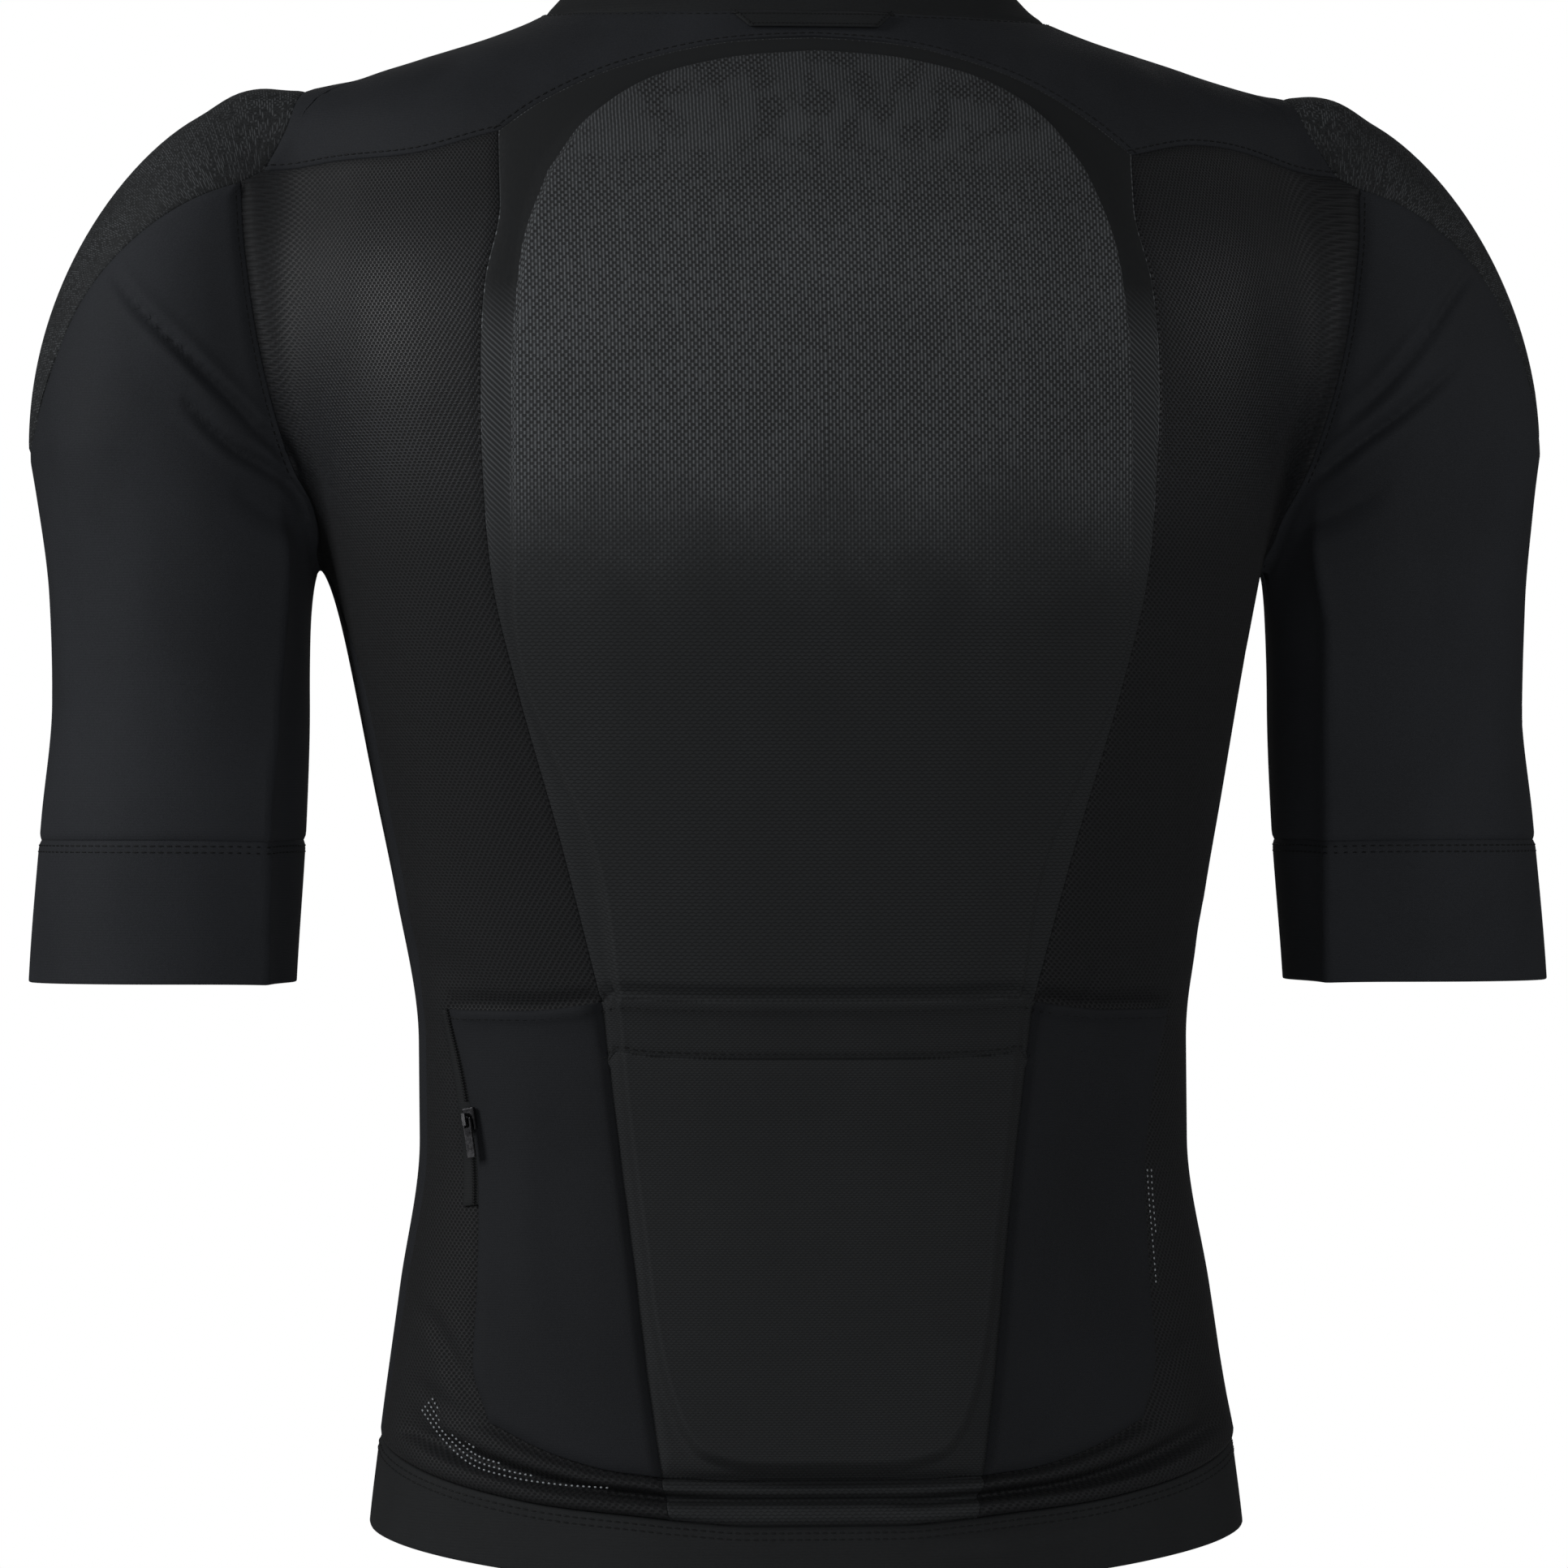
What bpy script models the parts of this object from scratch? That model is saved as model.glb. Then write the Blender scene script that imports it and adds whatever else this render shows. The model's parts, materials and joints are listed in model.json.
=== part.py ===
"""Protective t-shirt in its worn form: a close-fitting riding top with a back protector, shoulder pads,
three pockets on the lower back and a zip along the left pocket.

Metres, +Z up. The wearer faces +Y, so the back looks along -Y and the wearer's left is at -X. The origin
is the middle of the neck hole, level with the collar seam, where the wearer's shoulders carry the shirt.
The tables are in millimetres. Every panel is a grid of points that lie on one smooth body form, so panels
that meet at a seam share the seam's points, and what lies on a panel is made from the panel's points."""

import math

import bmesh
import bpy
import numpy as np
from mathutils import Matrix, Vector

MM = 0.001
SIDES = {"left": -1, "right": 1}

CLOTH = 1.6
GAP = 0.3
COLLAR_CLOTH = 1.8
BAND_CLOTH = 2.0
POCKET_CLOTH = 1.4
PROTECTOR_RAISE = 7.0
PROTECTOR_CROWN = 1.5
PROTECTOR_EDGE = 2.0
PROTECTOR_SLOPE = 6.0
SHOULDER_PAD = 6.0
PAD_INSET, PAD_GAP = 1.0, 1.1
# The panels that meet in the narrow fold of the armpit keep further from their seams.
PANEL_INSET, SLEEVE_INSET = 0.35, 0.5
SHOULDER_PAD_EDGE = 2.0

# How many grid cells lie along each stretch of seam.
CELLS = {
    "armhole": 5,
    "side": 6,
    "pocket_width": 3,
    "arc": 10,
    "yoke_seam": 5,
    "yoke": 3,
    "shoulder": 5,
    "jog": 1,
    "cap": 5,
    "neck_front": 8,
    "sleeve": 5,
    "cuff": 2,
    "collar": 2,
    "hem": 2,
}

# The torso by height: half its width, how far back and front it reaches, where it is widest, squareness.
# Columns: height, half_width, back, front, widest_at, squareness.
TORSO = (
    (40, 62, 46, 46, 0, 2.0),
    (22, 76, 52, 50, 0, 2.0),
    (8, 87, 57, 54, 0, 2.0),
    (0, 96, 61, 58, 0, 2.0),
    (-8, 115, 66, 62, 0, 2.0),
    (-17, 143, 72, 66, 0, 2.0),
    (-28, 173, 78, 71, 0, 2.0),
    (-42, 188, 86, 77, 0, 2.05),
    (-62, 190, 95, 84, 0, 2.1),
    (-100, 196, 108, 97, 0, 2.2),
    (-150, 192, 116, 108, 0, 2.3),
    (-200, 180, 116, 112, -2, 2.35),
    (-240, 171.5, 112, 111, -4, 2.4),
    (-296, 161, 102, 106, -8, 2.4),
    (-333, 154, 95, 102, -12, 2.35),
    (-389, 146, 89, 97, -16, 2.3),
    (-426, 146, 89, 96, -16, 2.3),
    (-482, 154, 95, 97, -16, 2.3),
    (-538, 162, 102, 98, -14, 2.3),
    (-580, 167, 106, 100, -12, 2.3),
    (-640, 169, 108, 100, -12, 2.3),
)
# The arm by height, from where the shoulder rounds over down to the cuff.
# Columns: height, centre_x, centre_y, half_width, half_depth.
ARM = (
    (-165, 236, 16, 55, 56),
    (-185, 235.5, 16, 52.5, 55),
    (-221, 234, 17, 50, 54),
    (-259, 234, 18, 49, 52),
    (-305, 237, 20, 50.5, 52),
    (-361, 241.5, 22, 51, 51),
    (-420, 244.5, 24, 51, 51),
)
SHOULDER_TOP = -33
SHOULDER_INWARD = 28
BLEND_ARMPIT, BLEND_SHOULDER = 13, 32
BLEND_FROM, BLEND_OVER = -215, 90
LEAN = 0.0093
LEAN_HEIGHT = -292

# Seams. Columns: x, y, z, on the wearer's right; the left ones are mirrored.
ARMPIT = (180.6, 8, -209)
BACK_CORNER = (213, -27, -65)
YOKE_CORNER = (204, -26, -60)
FRONT_CORNER = (212, 47, -69)
FRONT_YOKE_CORNER = (203, 44, -65)
NECK_POINT = (87, 38, -14)
ARMHOLE_BACK = (ARMPIT, (186, -14, -192), (199, -27, -158), (208, -30, -123), (212, -30, -90), BACK_CORNER)
ARMHOLE_FRONT = (ARMPIT, (181.5, 36, -191), (183, 49, -173), (194, 66, -128), (203, 65, -92), FRONT_CORNER)
ARMHOLE_TOP = (
    FRONT_YOKE_CORNER,
    (196, 34, -51),
    (190, 18, -35),
    (187.5, 3, -28),
    (191, -14, -37),
    YOKE_CORNER,
)
SHOULDER_SEAM = (NECK_POINT, (125, 48, -28), (165, 54, -42), FRONT_YOKE_CORNER)
NECK_BACK = (NECK_POINT, (95, 14, -3), (94, -14, 0), (80, -36, -1), (45, -55, -2), (0, -62, -2))
NECK_FRONT = (NECK_POINT, (70, 62, -34), (38, 78, -54), (0, 84, -62))
COLLAR_POINT = (70, 30, 2)
COLLAR_BACK = (COLLAR_POINT, (77, 10, 16), (76, -10, 20), (64, -30, 19), (36, -47, 18), (0, -53, 17))
COLLAR_FRONT = (COLLAR_POINT, (56, 52, -14), (30, 68, -33), (0, 75, -40))
CAP_BACK_END, CAP_FRONT_END = (284, -6, -140), (284, 40, -140)
CAP_BACK = (BACK_CORNER, (226, -30, -69), (249, -26, -83), (271, -16, -108), CAP_BACK_END)
CAP_TIP = (CAP_BACK_END, (288, 6, -160), (289, 17, -166), (288, 28, -160), CAP_FRONT_END)
CAP_FRONT = (CAP_FRONT_END, (271, 52, -108), (249, 62, -83), (226, 64, -69), FRONT_CORNER)
POCKET_LEVEL = (149, -30, -378)
SIDE_HEM = (161, -20, -539)
SIDE_SEAM = (ARMPIT, (175, -14, -226), (168, -27, -250), (160, -30, -290), (152, -31, -335), POCKET_LEVEL)
SIDE_SEAM_LOW = (POCKET_LEVEL, (147, -30, -420), (153, -29, -480), SIDE_HEM)
HEM_SIDE = (SIDE_HEM, (147, -60, -549), (110, -84, -558), (57, -101, -564))
HEM_BACK = ((57, -101, -564), (28, -105, -566), (0, -106, -566))
HEM_FRONT = (SIDE_HEM, (160, 25, -537), (128, 66, -536), (70, 92, -536), (0, 98, -536))
HEM_EDGE_SIDE = ((166, -18, -572), (152, -58, -577), (114, -86, -583), (58, -104, -588))
HEM_EDGE_BACK = ((58, -104, -588), (29, -108, -590), (0, -109, -591))
HEM_EDGE_FRONT = ((166, -18, -572), (164, 26, -569), (132, 66, -567), (72, 93, -566), (0, 100, -566))

# The seam that bounds the centre back panel. The yoke meets it a little lower on the wearer's right.
# Columns: x, y, z_left, z_right.
YOKE_BACK = (
    (204, -26, -60, -60),
    (180, -32, -59, -56),
    (147, -60, -56, -50),
    (119, -72, -48, -56),
)
YOKE_ARC = (
    (119, -72, -48, -56),
    (98, -70, -34, -41),
    (75, -68, -24, -27),
    (42, -68, -15.5, -16),
    (0, -69, -12, -12),
)
# Columns: x, z.
CENTRE_SEAM = (
    (119, -75), (125, -105), (127, -140), (126, -180), (122, -220), (113, -257), (97, -312), (81, -373),
)
CENTRE_SEAM_LOW = ((81, -373), (76, -415), (70, -465), (64.5, -515), (60, -548))
POCKET_EDGE = ((135, -376), (128, -410), (125, -442), (126, -480), (127.5, -508), (122, -529))
POCKET_BOTTOM = ((122, -529), (104, -538), (82, -545), (60, -548))
POCKET_TOP_SIDE = ((135, -376), (108, -376), (81, -373))
POCKET_BOTTOM_BACK = ((60, -548), (30, -549), (0, -549))
PROTECTOR_TOP = ((101, -64), (87, -45), (66, -31), (35, -21.5), (0, -18))
PROTECTOR_SIDE = (
    (101, -64), (110, -88), (114, -115), (116, -160), (116, -222), (111, -255), (99, -285), (86, -317),
    (77, -371),
)
PROTECTOR_SIDE_LOW = (
    (77, -371), (75, -397), (72.5, -421), (70.5, -438), (67.7, -462), (63.8, -495), (59.5, -516),
    (54.5, -531),
)
PROTECTOR_BOTTOM = ((54.5, -531), (47, -541), (35, -545.5), (16, -547), (0, -547))

# How far along its strip each line of the grid lies, and the height of the fold there.
# Columns: share, height.
HEM_FOLDS = ((0.0, 0.0), (0.2, 1.2), (0.62, -3.0), (1.0, 0.0))
# Where the lines across the pockets lie, as shares of a pocket's height. The first is under its band.
POCKET_ROWS = (0, 0.125, 0.3, 0.475, 0.65, 0.825, 1)
POCKET_BAND_ROWS = 1
ZIP_ROWS = 3

SLEEVE_TUBE_TOP, CUFF_SEAM, CUFF_EDGE = -226, -313, -367
# The angle at which the lines round a sleeve begin, level with the armpit, and the centre that the cap
# over the shoulder is spread round.
SLEEVE_START = 0.186
CAP_CENTRE = (222, 16, -120)

TAB_WIDTH, TAB_SLANT, TAB_CLOTH = 60, 6, 1.2
TAB_LEVELS = (-3.5, -9)
TAB_CELLS = 8

# The slider's middle is this far below the neck. Its body: width, length, thickness.
SLIDER_HEIGHT, SLIDER_LIFT, SLIDER_ASIDE = 417, 2.1, -1.0
SLIDER_BODY = (5.4, 8.5, 2.0)
TAPE_CLOTH = 1.0
BRIDGE_SPAN, BRIDGE_FOOT, BRIDGE_GAP, BRIDGE_TOP, BRIDGE_WIDTH = 2.6, 1.0, 2.0, 0.9, 1.5
PULL_WIDTH, PULL_LENGTH, PULL_THICKNESS, PULL_BAR = 3.8, 15.0, 1.0, 1.0
# How high the pull's hinge lies over the slider's body.
PULL_PIVOT = 0.95
EYE_WIDTH, EYE_LENGTH = 2.3, 2.7

# Columns: colour, roughness, metallic.
FINISHES = {
    "smooth_jersey": ((0.022, 0.022, 0.026), 0.75, 0.0),
    "side_mesh": ((0.024, 0.025, 0.026), 0.7, 0.0),
    "spacer_knit": ((0.030, 0.032, 0.032), 0.85, 0.0),
    "heather_mesh": ((0.028, 0.028, 0.031), 0.8, 0.0),
    "trim": ((0.018, 0.018, 0.021), 0.65, 0.0),
    "foam": ((0.05, 0.05, 0.052), 0.9, 0.0),
    "zip_tape": ((0.012, 0.012, 0.013), 0.6, 0.0),
    "gunmetal": ((0.16, 0.16, 0.17), 0.3, 1.0),
}


def interpolate(knots, values, at):
    """Values and their slopes on a smooth curve through the knots that never overshoots between them."""
    width = np.diff(knots)[:, None]
    rise = np.diff(values, axis=0) / width
    between_rows = (rise[:-1] * width[1:] + rise[1:] * width[:-1]) / (width[:-1] + width[1:])
    slope = np.concatenate([rise[:1], between_rows, rise[-1:]])
    limit = 3 * np.minimum(abs(rise[:-1]), abs(rise[1:]))
    turns = rise[:-1] * rise[1:] <= 0
    slope[1:-1] = np.where(turns, 0, np.clip(slope[1:-1], -limit, limit))
    at = np.clip(at, knots[0], knots[-1])
    cell = np.clip(np.searchsorted(knots, at) - 1, 0, len(width) - 1)
    h = width[cell]
    t = (at - knots[cell])[..., None] / h
    a, b, sa, sb = values[cell], values[cell + 1], slope[cell] * h, slope[cell + 1] * h
    value = (1 + 2 * t) * (1 - t) ** 2 * a + t * (1 - t) ** 2 * sa
    value += t * t * (3 - 2 * t) * b + t * t * (t - 1) * sb
    change = (6 * t * t - 6 * t) * (a - b) + (1 - 4 * t + 3 * t * t) * sa + (3 * t * t - 2 * t) * sb
    return value, change / h


def by_height(table, z):
    """A table's columns at these heights, and their slopes, as two lists of arrays in metres."""
    rows = np.array(sorted(table), float) * MM
    value, slope = interpolate(rows[:, 0], rows[:, 1:], z)
    return np.moveaxis(value, -1, 0), np.moveaxis(slope, -1, 0)


def torso(x, y, z):
    """About how far a point lies outside the torso."""
    (width, back, front, middle, square), slopes = by_height(TORSO, z)
    width_slope, back_slope, front_slope, middle_slope, _ = slopes
    square = square / MM
    behind = y < middle
    depth = np.where(behind, back + middle, front - middle)
    depth_slope = np.where(behind, back_slope + middle_slope, front_slope - middle_slope)
    across, along = abs(x) / width + 1e-9, abs(y - middle) / depth + 1e-9
    across_power, along_power = across**square, along**square
    reach = (across_power + along_power) ** (1 / square)
    scale = reach ** (1 - square)
    by_x = scale * across_power / across / width
    by_y = scale * along_power / along / depth * np.sign(y - middle)
    by_z = -scale * (across_power * width_slope / width + along_power * depth_slope / depth)
    by_z -= by_y * middle_slope
    return (reach - 1) / np.sqrt(by_x**2 + by_y**2 + by_z**2)


def arm(x, y, z):
    """About how far a point lies outside the nearer arm, whose top rounds over into the shoulder."""
    (centre_x, centre_y, width, depth), _ = by_height(ARM, z)
    base, rise = ARM[0][0] * MM, (SHOULDER_TOP - ARM[0][0]) * MM
    up = np.maximum((z - base) / rise, 0)
    centre_x = centre_x - SHOULDER_INWARD * MM * up**2
    centre_y = centre_y * (1 - 0.8 * np.minimum(up, 1) ** 2)
    off_x, off_y = (abs(x) - centre_x) / width, (y - centre_y) / depth
    by_x, by_y = 2 * off_x / width, 2 * off_y / depth
    by_z = 2 * up / rise * (1 + by_x * SHOULDER_INWARD * MM)
    return (off_x**2 + off_y**2 + up**2 - 1) / (np.sqrt(by_x**2 + by_y**2 + by_z**2) + 2)


def body(points):
    """Negative inside the worn form, zero on the outer face of the cloth, positive outside."""
    x, y, z = np.moveaxis(points, -1, 0)
    x = x + LEAN * (z - LEAN_HEIGHT * MM)
    up = np.clip((z / MM - BLEND_FROM) / BLEND_OVER, 0, 1)
    blend = (BLEND_ARMPIT + (BLEND_SHOULDER - BLEND_ARMPIT) * up * up * (3 - 2 * up)) * MM
    a, b = torso(x, y, z), arm(x, y, z)
    share = np.clip(0.5 + 0.5 * (b - a) / blend, 0, 1)
    return b + (a - b) * share - blend * share * (1 - share)


def steepest(points):
    """How fast the body form's value grows along x, y and z."""
    step = 2e-4
    slopes = [body(points + step * axis) - body(points - step * axis) for axis in np.eye(3)]
    return np.stack(slopes, axis=-1) / (2 * step)


def outward(points):
    slope = steepest(points[..., :3])
    return slope / np.linalg.norm(slope, axis=-1, keepdims=True)


def settle(points, along=None):
    """Moves points onto the body form, the short way or along one direction. The fourth column stays."""
    place = points[..., :3].copy()
    for _ in range(14):
        slope = steepest(place)
        way = slope if along is None else np.broadcast_to(along, slope.shape)
        step = body(place) / (slope * way).sum(axis=-1)
        place -= np.clip(step[..., None] * way, -20 * MM, 20 * MM)
    return np.concatenate([place, points[..., 3:]], axis=-1)


def curve(rows, cells, along=None):
    """Points on the body form along a smooth curve through the rows, with height 0. The cells are a
    number of equal steps, or a tuple of shares of the length."""
    rows = np.array(rows, float) * MM
    knots = np.append(0, np.cumsum(np.linalg.norm(np.diff(rows, axis=0), axis=1)))
    fine, _ = interpolate(knots, rows, np.linspace(0, knots[-1], 40 * len(rows)))
    length = np.append(0, np.cumsum(np.linalg.norm(np.diff(fine, axis=0), axis=1)))
    shares = np.linspace(0, 1, cells + 1) if isinstance(cells, int) else np.array(cells)
    points = np.stack([np.interp(shares * length[-1], length, column) for column in fine.T], axis=-1)
    return settle(np.column_stack([points, np.zeros(len(points))]), along)


def seam(rows, cells, side=1):
    """A seam given for the wearer's right side, or its mirror image."""
    return curve([(side * x, y, z) for x, y, z in rows], cells)


def back_seam(rows, cells, side=1):
    """A seam given as it is seen from straight behind."""
    return curve([(side * x, -90, z) for x, z in rows], cells, along=(0, 1, 0))


def yoke_seam(rows, cells, side=1):
    """A seam whose height differs on the two sides."""
    level = 2 if side == SIDES["left"] else 3
    return curve([(side * row[0], row[1], row[level]) for row in rows], cells)


def join(*curves):
    """Curves end to end, as one."""
    return np.concatenate([curves[0]] + [part[1:] for part in curves[1:]])


def mirrored(make, rows, cells):
    """A curve whose rows end on the middle, run from the left to the right."""
    return join(make(rows, cells, SIDES["left"]), make(rows, cells, SIDES["right"])[::-1])


def between(top, bottom, left, right, fading=1):
    """A grid of points that fills four edges smoothly. Its own edges are theirs. The more the shapes of
    the top and bottom fade, the straighter the rows between them."""
    across = np.linspace(0, 1, len(top))[None, :, None]
    down = np.linspace(0, 1, len(left))[:, None, None]
    grid = (1 - across) * left[:, None] + across * right[:, None]
    for edge, share in ((top, 1 - down), (bottom, down)):
        grid = grid + share**fading * (edge[None] - (1 - across) * edge[0] - across * edge[-1])
    return grid


def framed(grid, top, bottom, left, right):
    grid[0], grid[-1], grid[:, 0], grid[:, -1] = top, bottom, left, right
    return grid


def patch(*edges, fading=1, centre=None):
    """The grid between four edges, on the body form: the short way there, or straight away from a centre."""
    grid = between(*edges, fading)
    if centre is None:
        return framed(settle(grid), *edges)
    way = grid[..., :3] - np.array(centre) * MM
    return framed(settle(grid, way / np.linalg.norm(way, axis=-1, keepdims=True)), *edges)


def round_patch(*edges):
    """The same for a panel that wraps round the front: the grid is worked out unrolled."""
    unrolled = []
    for x, y, z, height in (edge.T for edge in edges):
        unrolled.append(np.column_stack([np.arctan2(x, y), np.hypot(x, y), z, height]))
    angle, radius, z, height = np.moveaxis(between(*unrolled), -1, 0)
    grid = np.stack([radius * np.sin(angle), radius * np.cos(angle), z, height], axis=-1)
    return framed(settle(grid), *edges)


def strip(first, last, shares):
    """The grid of lines between two curves, at these shares of the way."""
    shares = np.asarray(shares, float)[:, None, None]
    grid = settle((1 - shares) * first[None] + shares * last[None])
    grid[0], grid[-1] = first, last
    return grid


def weld(*blocks):
    """One mesh of the blocks, joined where their points are the same: its points and its triangles. A
    cell is halved the same way in every piece, so that pieces on one another keep their distance."""
    points = np.concatenate([block.reshape(-1, 4) for block in blocks])
    faces, start = [], 0
    for block in blocks:
        rows, columns = block.shape[:2]
        number = start + np.arange(rows * columns).reshape(rows, columns)
        a, b, c, d = number[:-1, :-1], number[:-1, 1:], number[1:, 1:], number[1:, :-1]
        faces += [np.stack([corner.ravel() for corner in half], axis=-1) for half in ((a, b, c), (a, c, d))]
        start += rows * columns
    keys = np.round(points[:, :3] / (0.001 * MM)).astype(np.int64)
    _, first, index = np.unique(keys, axis=0, return_index=True, return_inverse=True)
    return points[first], index.reshape(-1)[np.concatenate(faces)]


def turned_out(points, faces, normals):
    """The triangles, each with its corners in the order that makes it face outwards."""
    a, b, c = (points[faces[:, i]] for i in range(3))
    facing = (np.cross(b - a, c - a) * normals[faces].sum(axis=1)).sum(axis=1)
    return np.where(facing[:, None] < 0, faces[:, ::-1], faces)


def free_edges(faces):
    """The edges that belong to one triangle, in that triangle's order."""
    edges = np.concatenate([np.column_stack([faces[:, i], faces[:, (i + 1) % 3]]) for i in range(3)])
    known = {tuple(edge) for edge in edges}
    return np.array([edge for edge in edges if (edge[1], edge[0]) not in known])


def drawn_in(points, edges, normals, distance):
    """The points, those on free edges moved this far into the panel."""
    inward = np.cross(normals[edges[:, 0]] + normals[edges[:, 1]], points[edges[:, 1]] - points[edges[:, 0]])
    inward /= np.linalg.norm(inward, axis=1, keepdims=True)
    at = {}
    for (a, b), way in zip(edges, inward):
        at.setdefault(a, []).append(way)
        at.setdefault(b, []).append(way)
    moved = points.copy()
    for vertex, (one, other) in at.items():
        moved[vertex] += distance * (one + other) / max(1 + one @ other, 0.4)
    return moved


def material(finish):
    if finish in bpy.data.materials:
        return bpy.data.materials[finish]
    colour, roughness, metallic = FINISHES[finish]
    made = bpy.data.materials.new(finish)
    made.use_nodes = True
    shader = made.node_tree.nodes["Principled BSDF"]
    shader.inputs["Base Color"].default_value = (*colour, 1)
    shader.inputs["Roughness"].default_value = roughness
    shader.inputs["Metallic"].default_value = metallic
    made.diffuse_color = (*colour, 1)
    return made


def add(name, mesh, finish, smooth_below=40):
    own = material(finish).copy()
    own.name = name
    mesh.materials.append(own)
    mesh.shade_smooth()
    mesh.set_sharp_from_angle(angle=math.radians(smooth_below))
    made = bpy.data.objects.new(name, mesh)
    bpy.context.collection.objects.link(made)
    return made


def shell(name, mesh, finish, thickness=CLOTH, lift=0.0, inset=GAP / 2, inner=None):
    """A closed wall on a panel's points. Its outer face lies lift above the panel's own, and its inner
    face lies a thickness below that, or at the heights given."""
    points, faces = mesh
    place, height = points[:, :3], points[:, 3]
    normals = outward(place)
    faces = turned_out(place, faces, normals)
    edges = free_edges(faces)
    place = drawn_in(place, edges, normals, inset * MM)
    outer = height + lift * MM
    inner = outer - thickness * MM if inner is None else inner
    corners = np.concatenate([place + normals * outer[:, None], place + normals * inner[:, None]])
    count = len(place)
    sides = np.column_stack([edges[:, 1], edges[:, 0], edges[:, 0] + count, edges[:, 1] + count])
    walls = np.concatenate([faces, faces[:, ::-1] + count])
    made = bpy.data.meshes.new(name)
    made.from_pydata(corners.tolist(), [], walls.tolist() + sides.tolist())
    return add(name, made, finish)


def side_seams(side):
    """The seams of one side of the shirt, by name."""
    upper = CELLS["armhole"] + CELLS["side"]
    foot = (YOKE_ARC[0][0], YOKE_ARC[0][2 if side == SIDES["left"] else 3])
    centre = back_seam((foot,) + CENTRE_SEAM, upper, side)
    centre[0] = yoke_seam(YOKE_ARC[:2], 1, side)[0]
    return {
        "armhole_back": seam(ARMHOLE_BACK, CELLS["armhole"], side),
        "armhole_front": seam(ARMHOLE_FRONT, CELLS["armhole"], side),
        "armhole_top": seam(ARMHOLE_TOP, CELLS["shoulder"], side),
        "jog_back": seam((BACK_CORNER, YOKE_CORNER), CELLS["jog"], side),
        "jog_front": seam((FRONT_CORNER, FRONT_YOKE_CORNER), CELLS["jog"], side),
        "shoulder": seam(SHOULDER_SEAM, CELLS["yoke"], side),
        "cap_back": seam(CAP_BACK, CELLS["cap"], side),
        "cap_tip": seam(CAP_TIP, CELLS["shoulder"], side),
        "cap_front": seam(CAP_FRONT, CELLS["cap"], side),
        "side": seam(SIDE_SEAM, CELLS["side"], side),
        "side_low": seam(SIDE_SEAM_LOW, POCKET_ROWS, side),
        "hem_side": seam(HEM_SIDE, CELLS["pocket_width"], side),
        "hem_edge_side": seam(HEM_EDGE_SIDE, CELLS["pocket_width"], side),
        "yoke_back": yoke_seam(YOKE_BACK, CELLS["yoke_seam"], side),
        "centre": centre,
        "centre_low": back_seam(CENTRE_SEAM_LOW, POCKET_ROWS, side),
        "pocket_edge": back_seam(POCKET_EDGE, POCKET_ROWS, side),
        "pocket_bottom": back_seam(POCKET_BOTTOM, CELLS["pocket_width"], side),
        "pocket_top": back_seam(POCKET_TOP_SIDE, CELLS["pocket_width"], side),
        "protector": join(
            back_seam(PROTECTOR_SIDE, upper, side), back_seam(PROTECTOR_SIDE_LOW, POCKET_ROWS, side)
        ),
    }


def round_pocket(seams):
    """The grid between a side pocket and the side seam and hem, whose lines turn the pocket's corner and
    fold above the hem."""
    shares, heights = np.array(HEM_FOLDS).T
    grid = strip(
        join(seams["pocket_edge"], seams["pocket_bottom"]), join(seams["side_low"], seams["hem_side"]), shares
    )
    turned = np.clip(np.arange(grid.shape[1]) - len(POCKET_ROWS) + 2, 0, 2) / 2
    grid[..., 3] = heights[:, None] * turned * MM
    return grid


def back_side(seams):
    """The blocks of the panel beside the back: above the pocket, under it and round it."""
    beside = round_pocket(seams)
    above = patch(
        join(seams["jog_back"], seams["yoke_back"]),
        join(beside[::-1, 0], seams["pocket_top"]),
        join(seams["armhole_back"][::-1], seams["side"]),
        seams["centre"],
    )
    under = patch(seams["pocket_top"], seams["pocket_bottom"], seams["pocket_edge"], seams["centre_low"])
    return above, under, beside


def inside(loop, distance):
    """A closed loop on the body form moved in by this distance."""
    ahead, behind = np.roll(loop, -1, axis=0), np.roll(loop, 1, axis=0)
    way = np.cross(outward(loop), (ahead - behind)[:, :3])
    way /= np.linalg.norm(way, axis=1, keepdims=True)
    moved = loop.copy()
    moved[:, :3] -= distance * MM * way
    return settle(moved)


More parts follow.
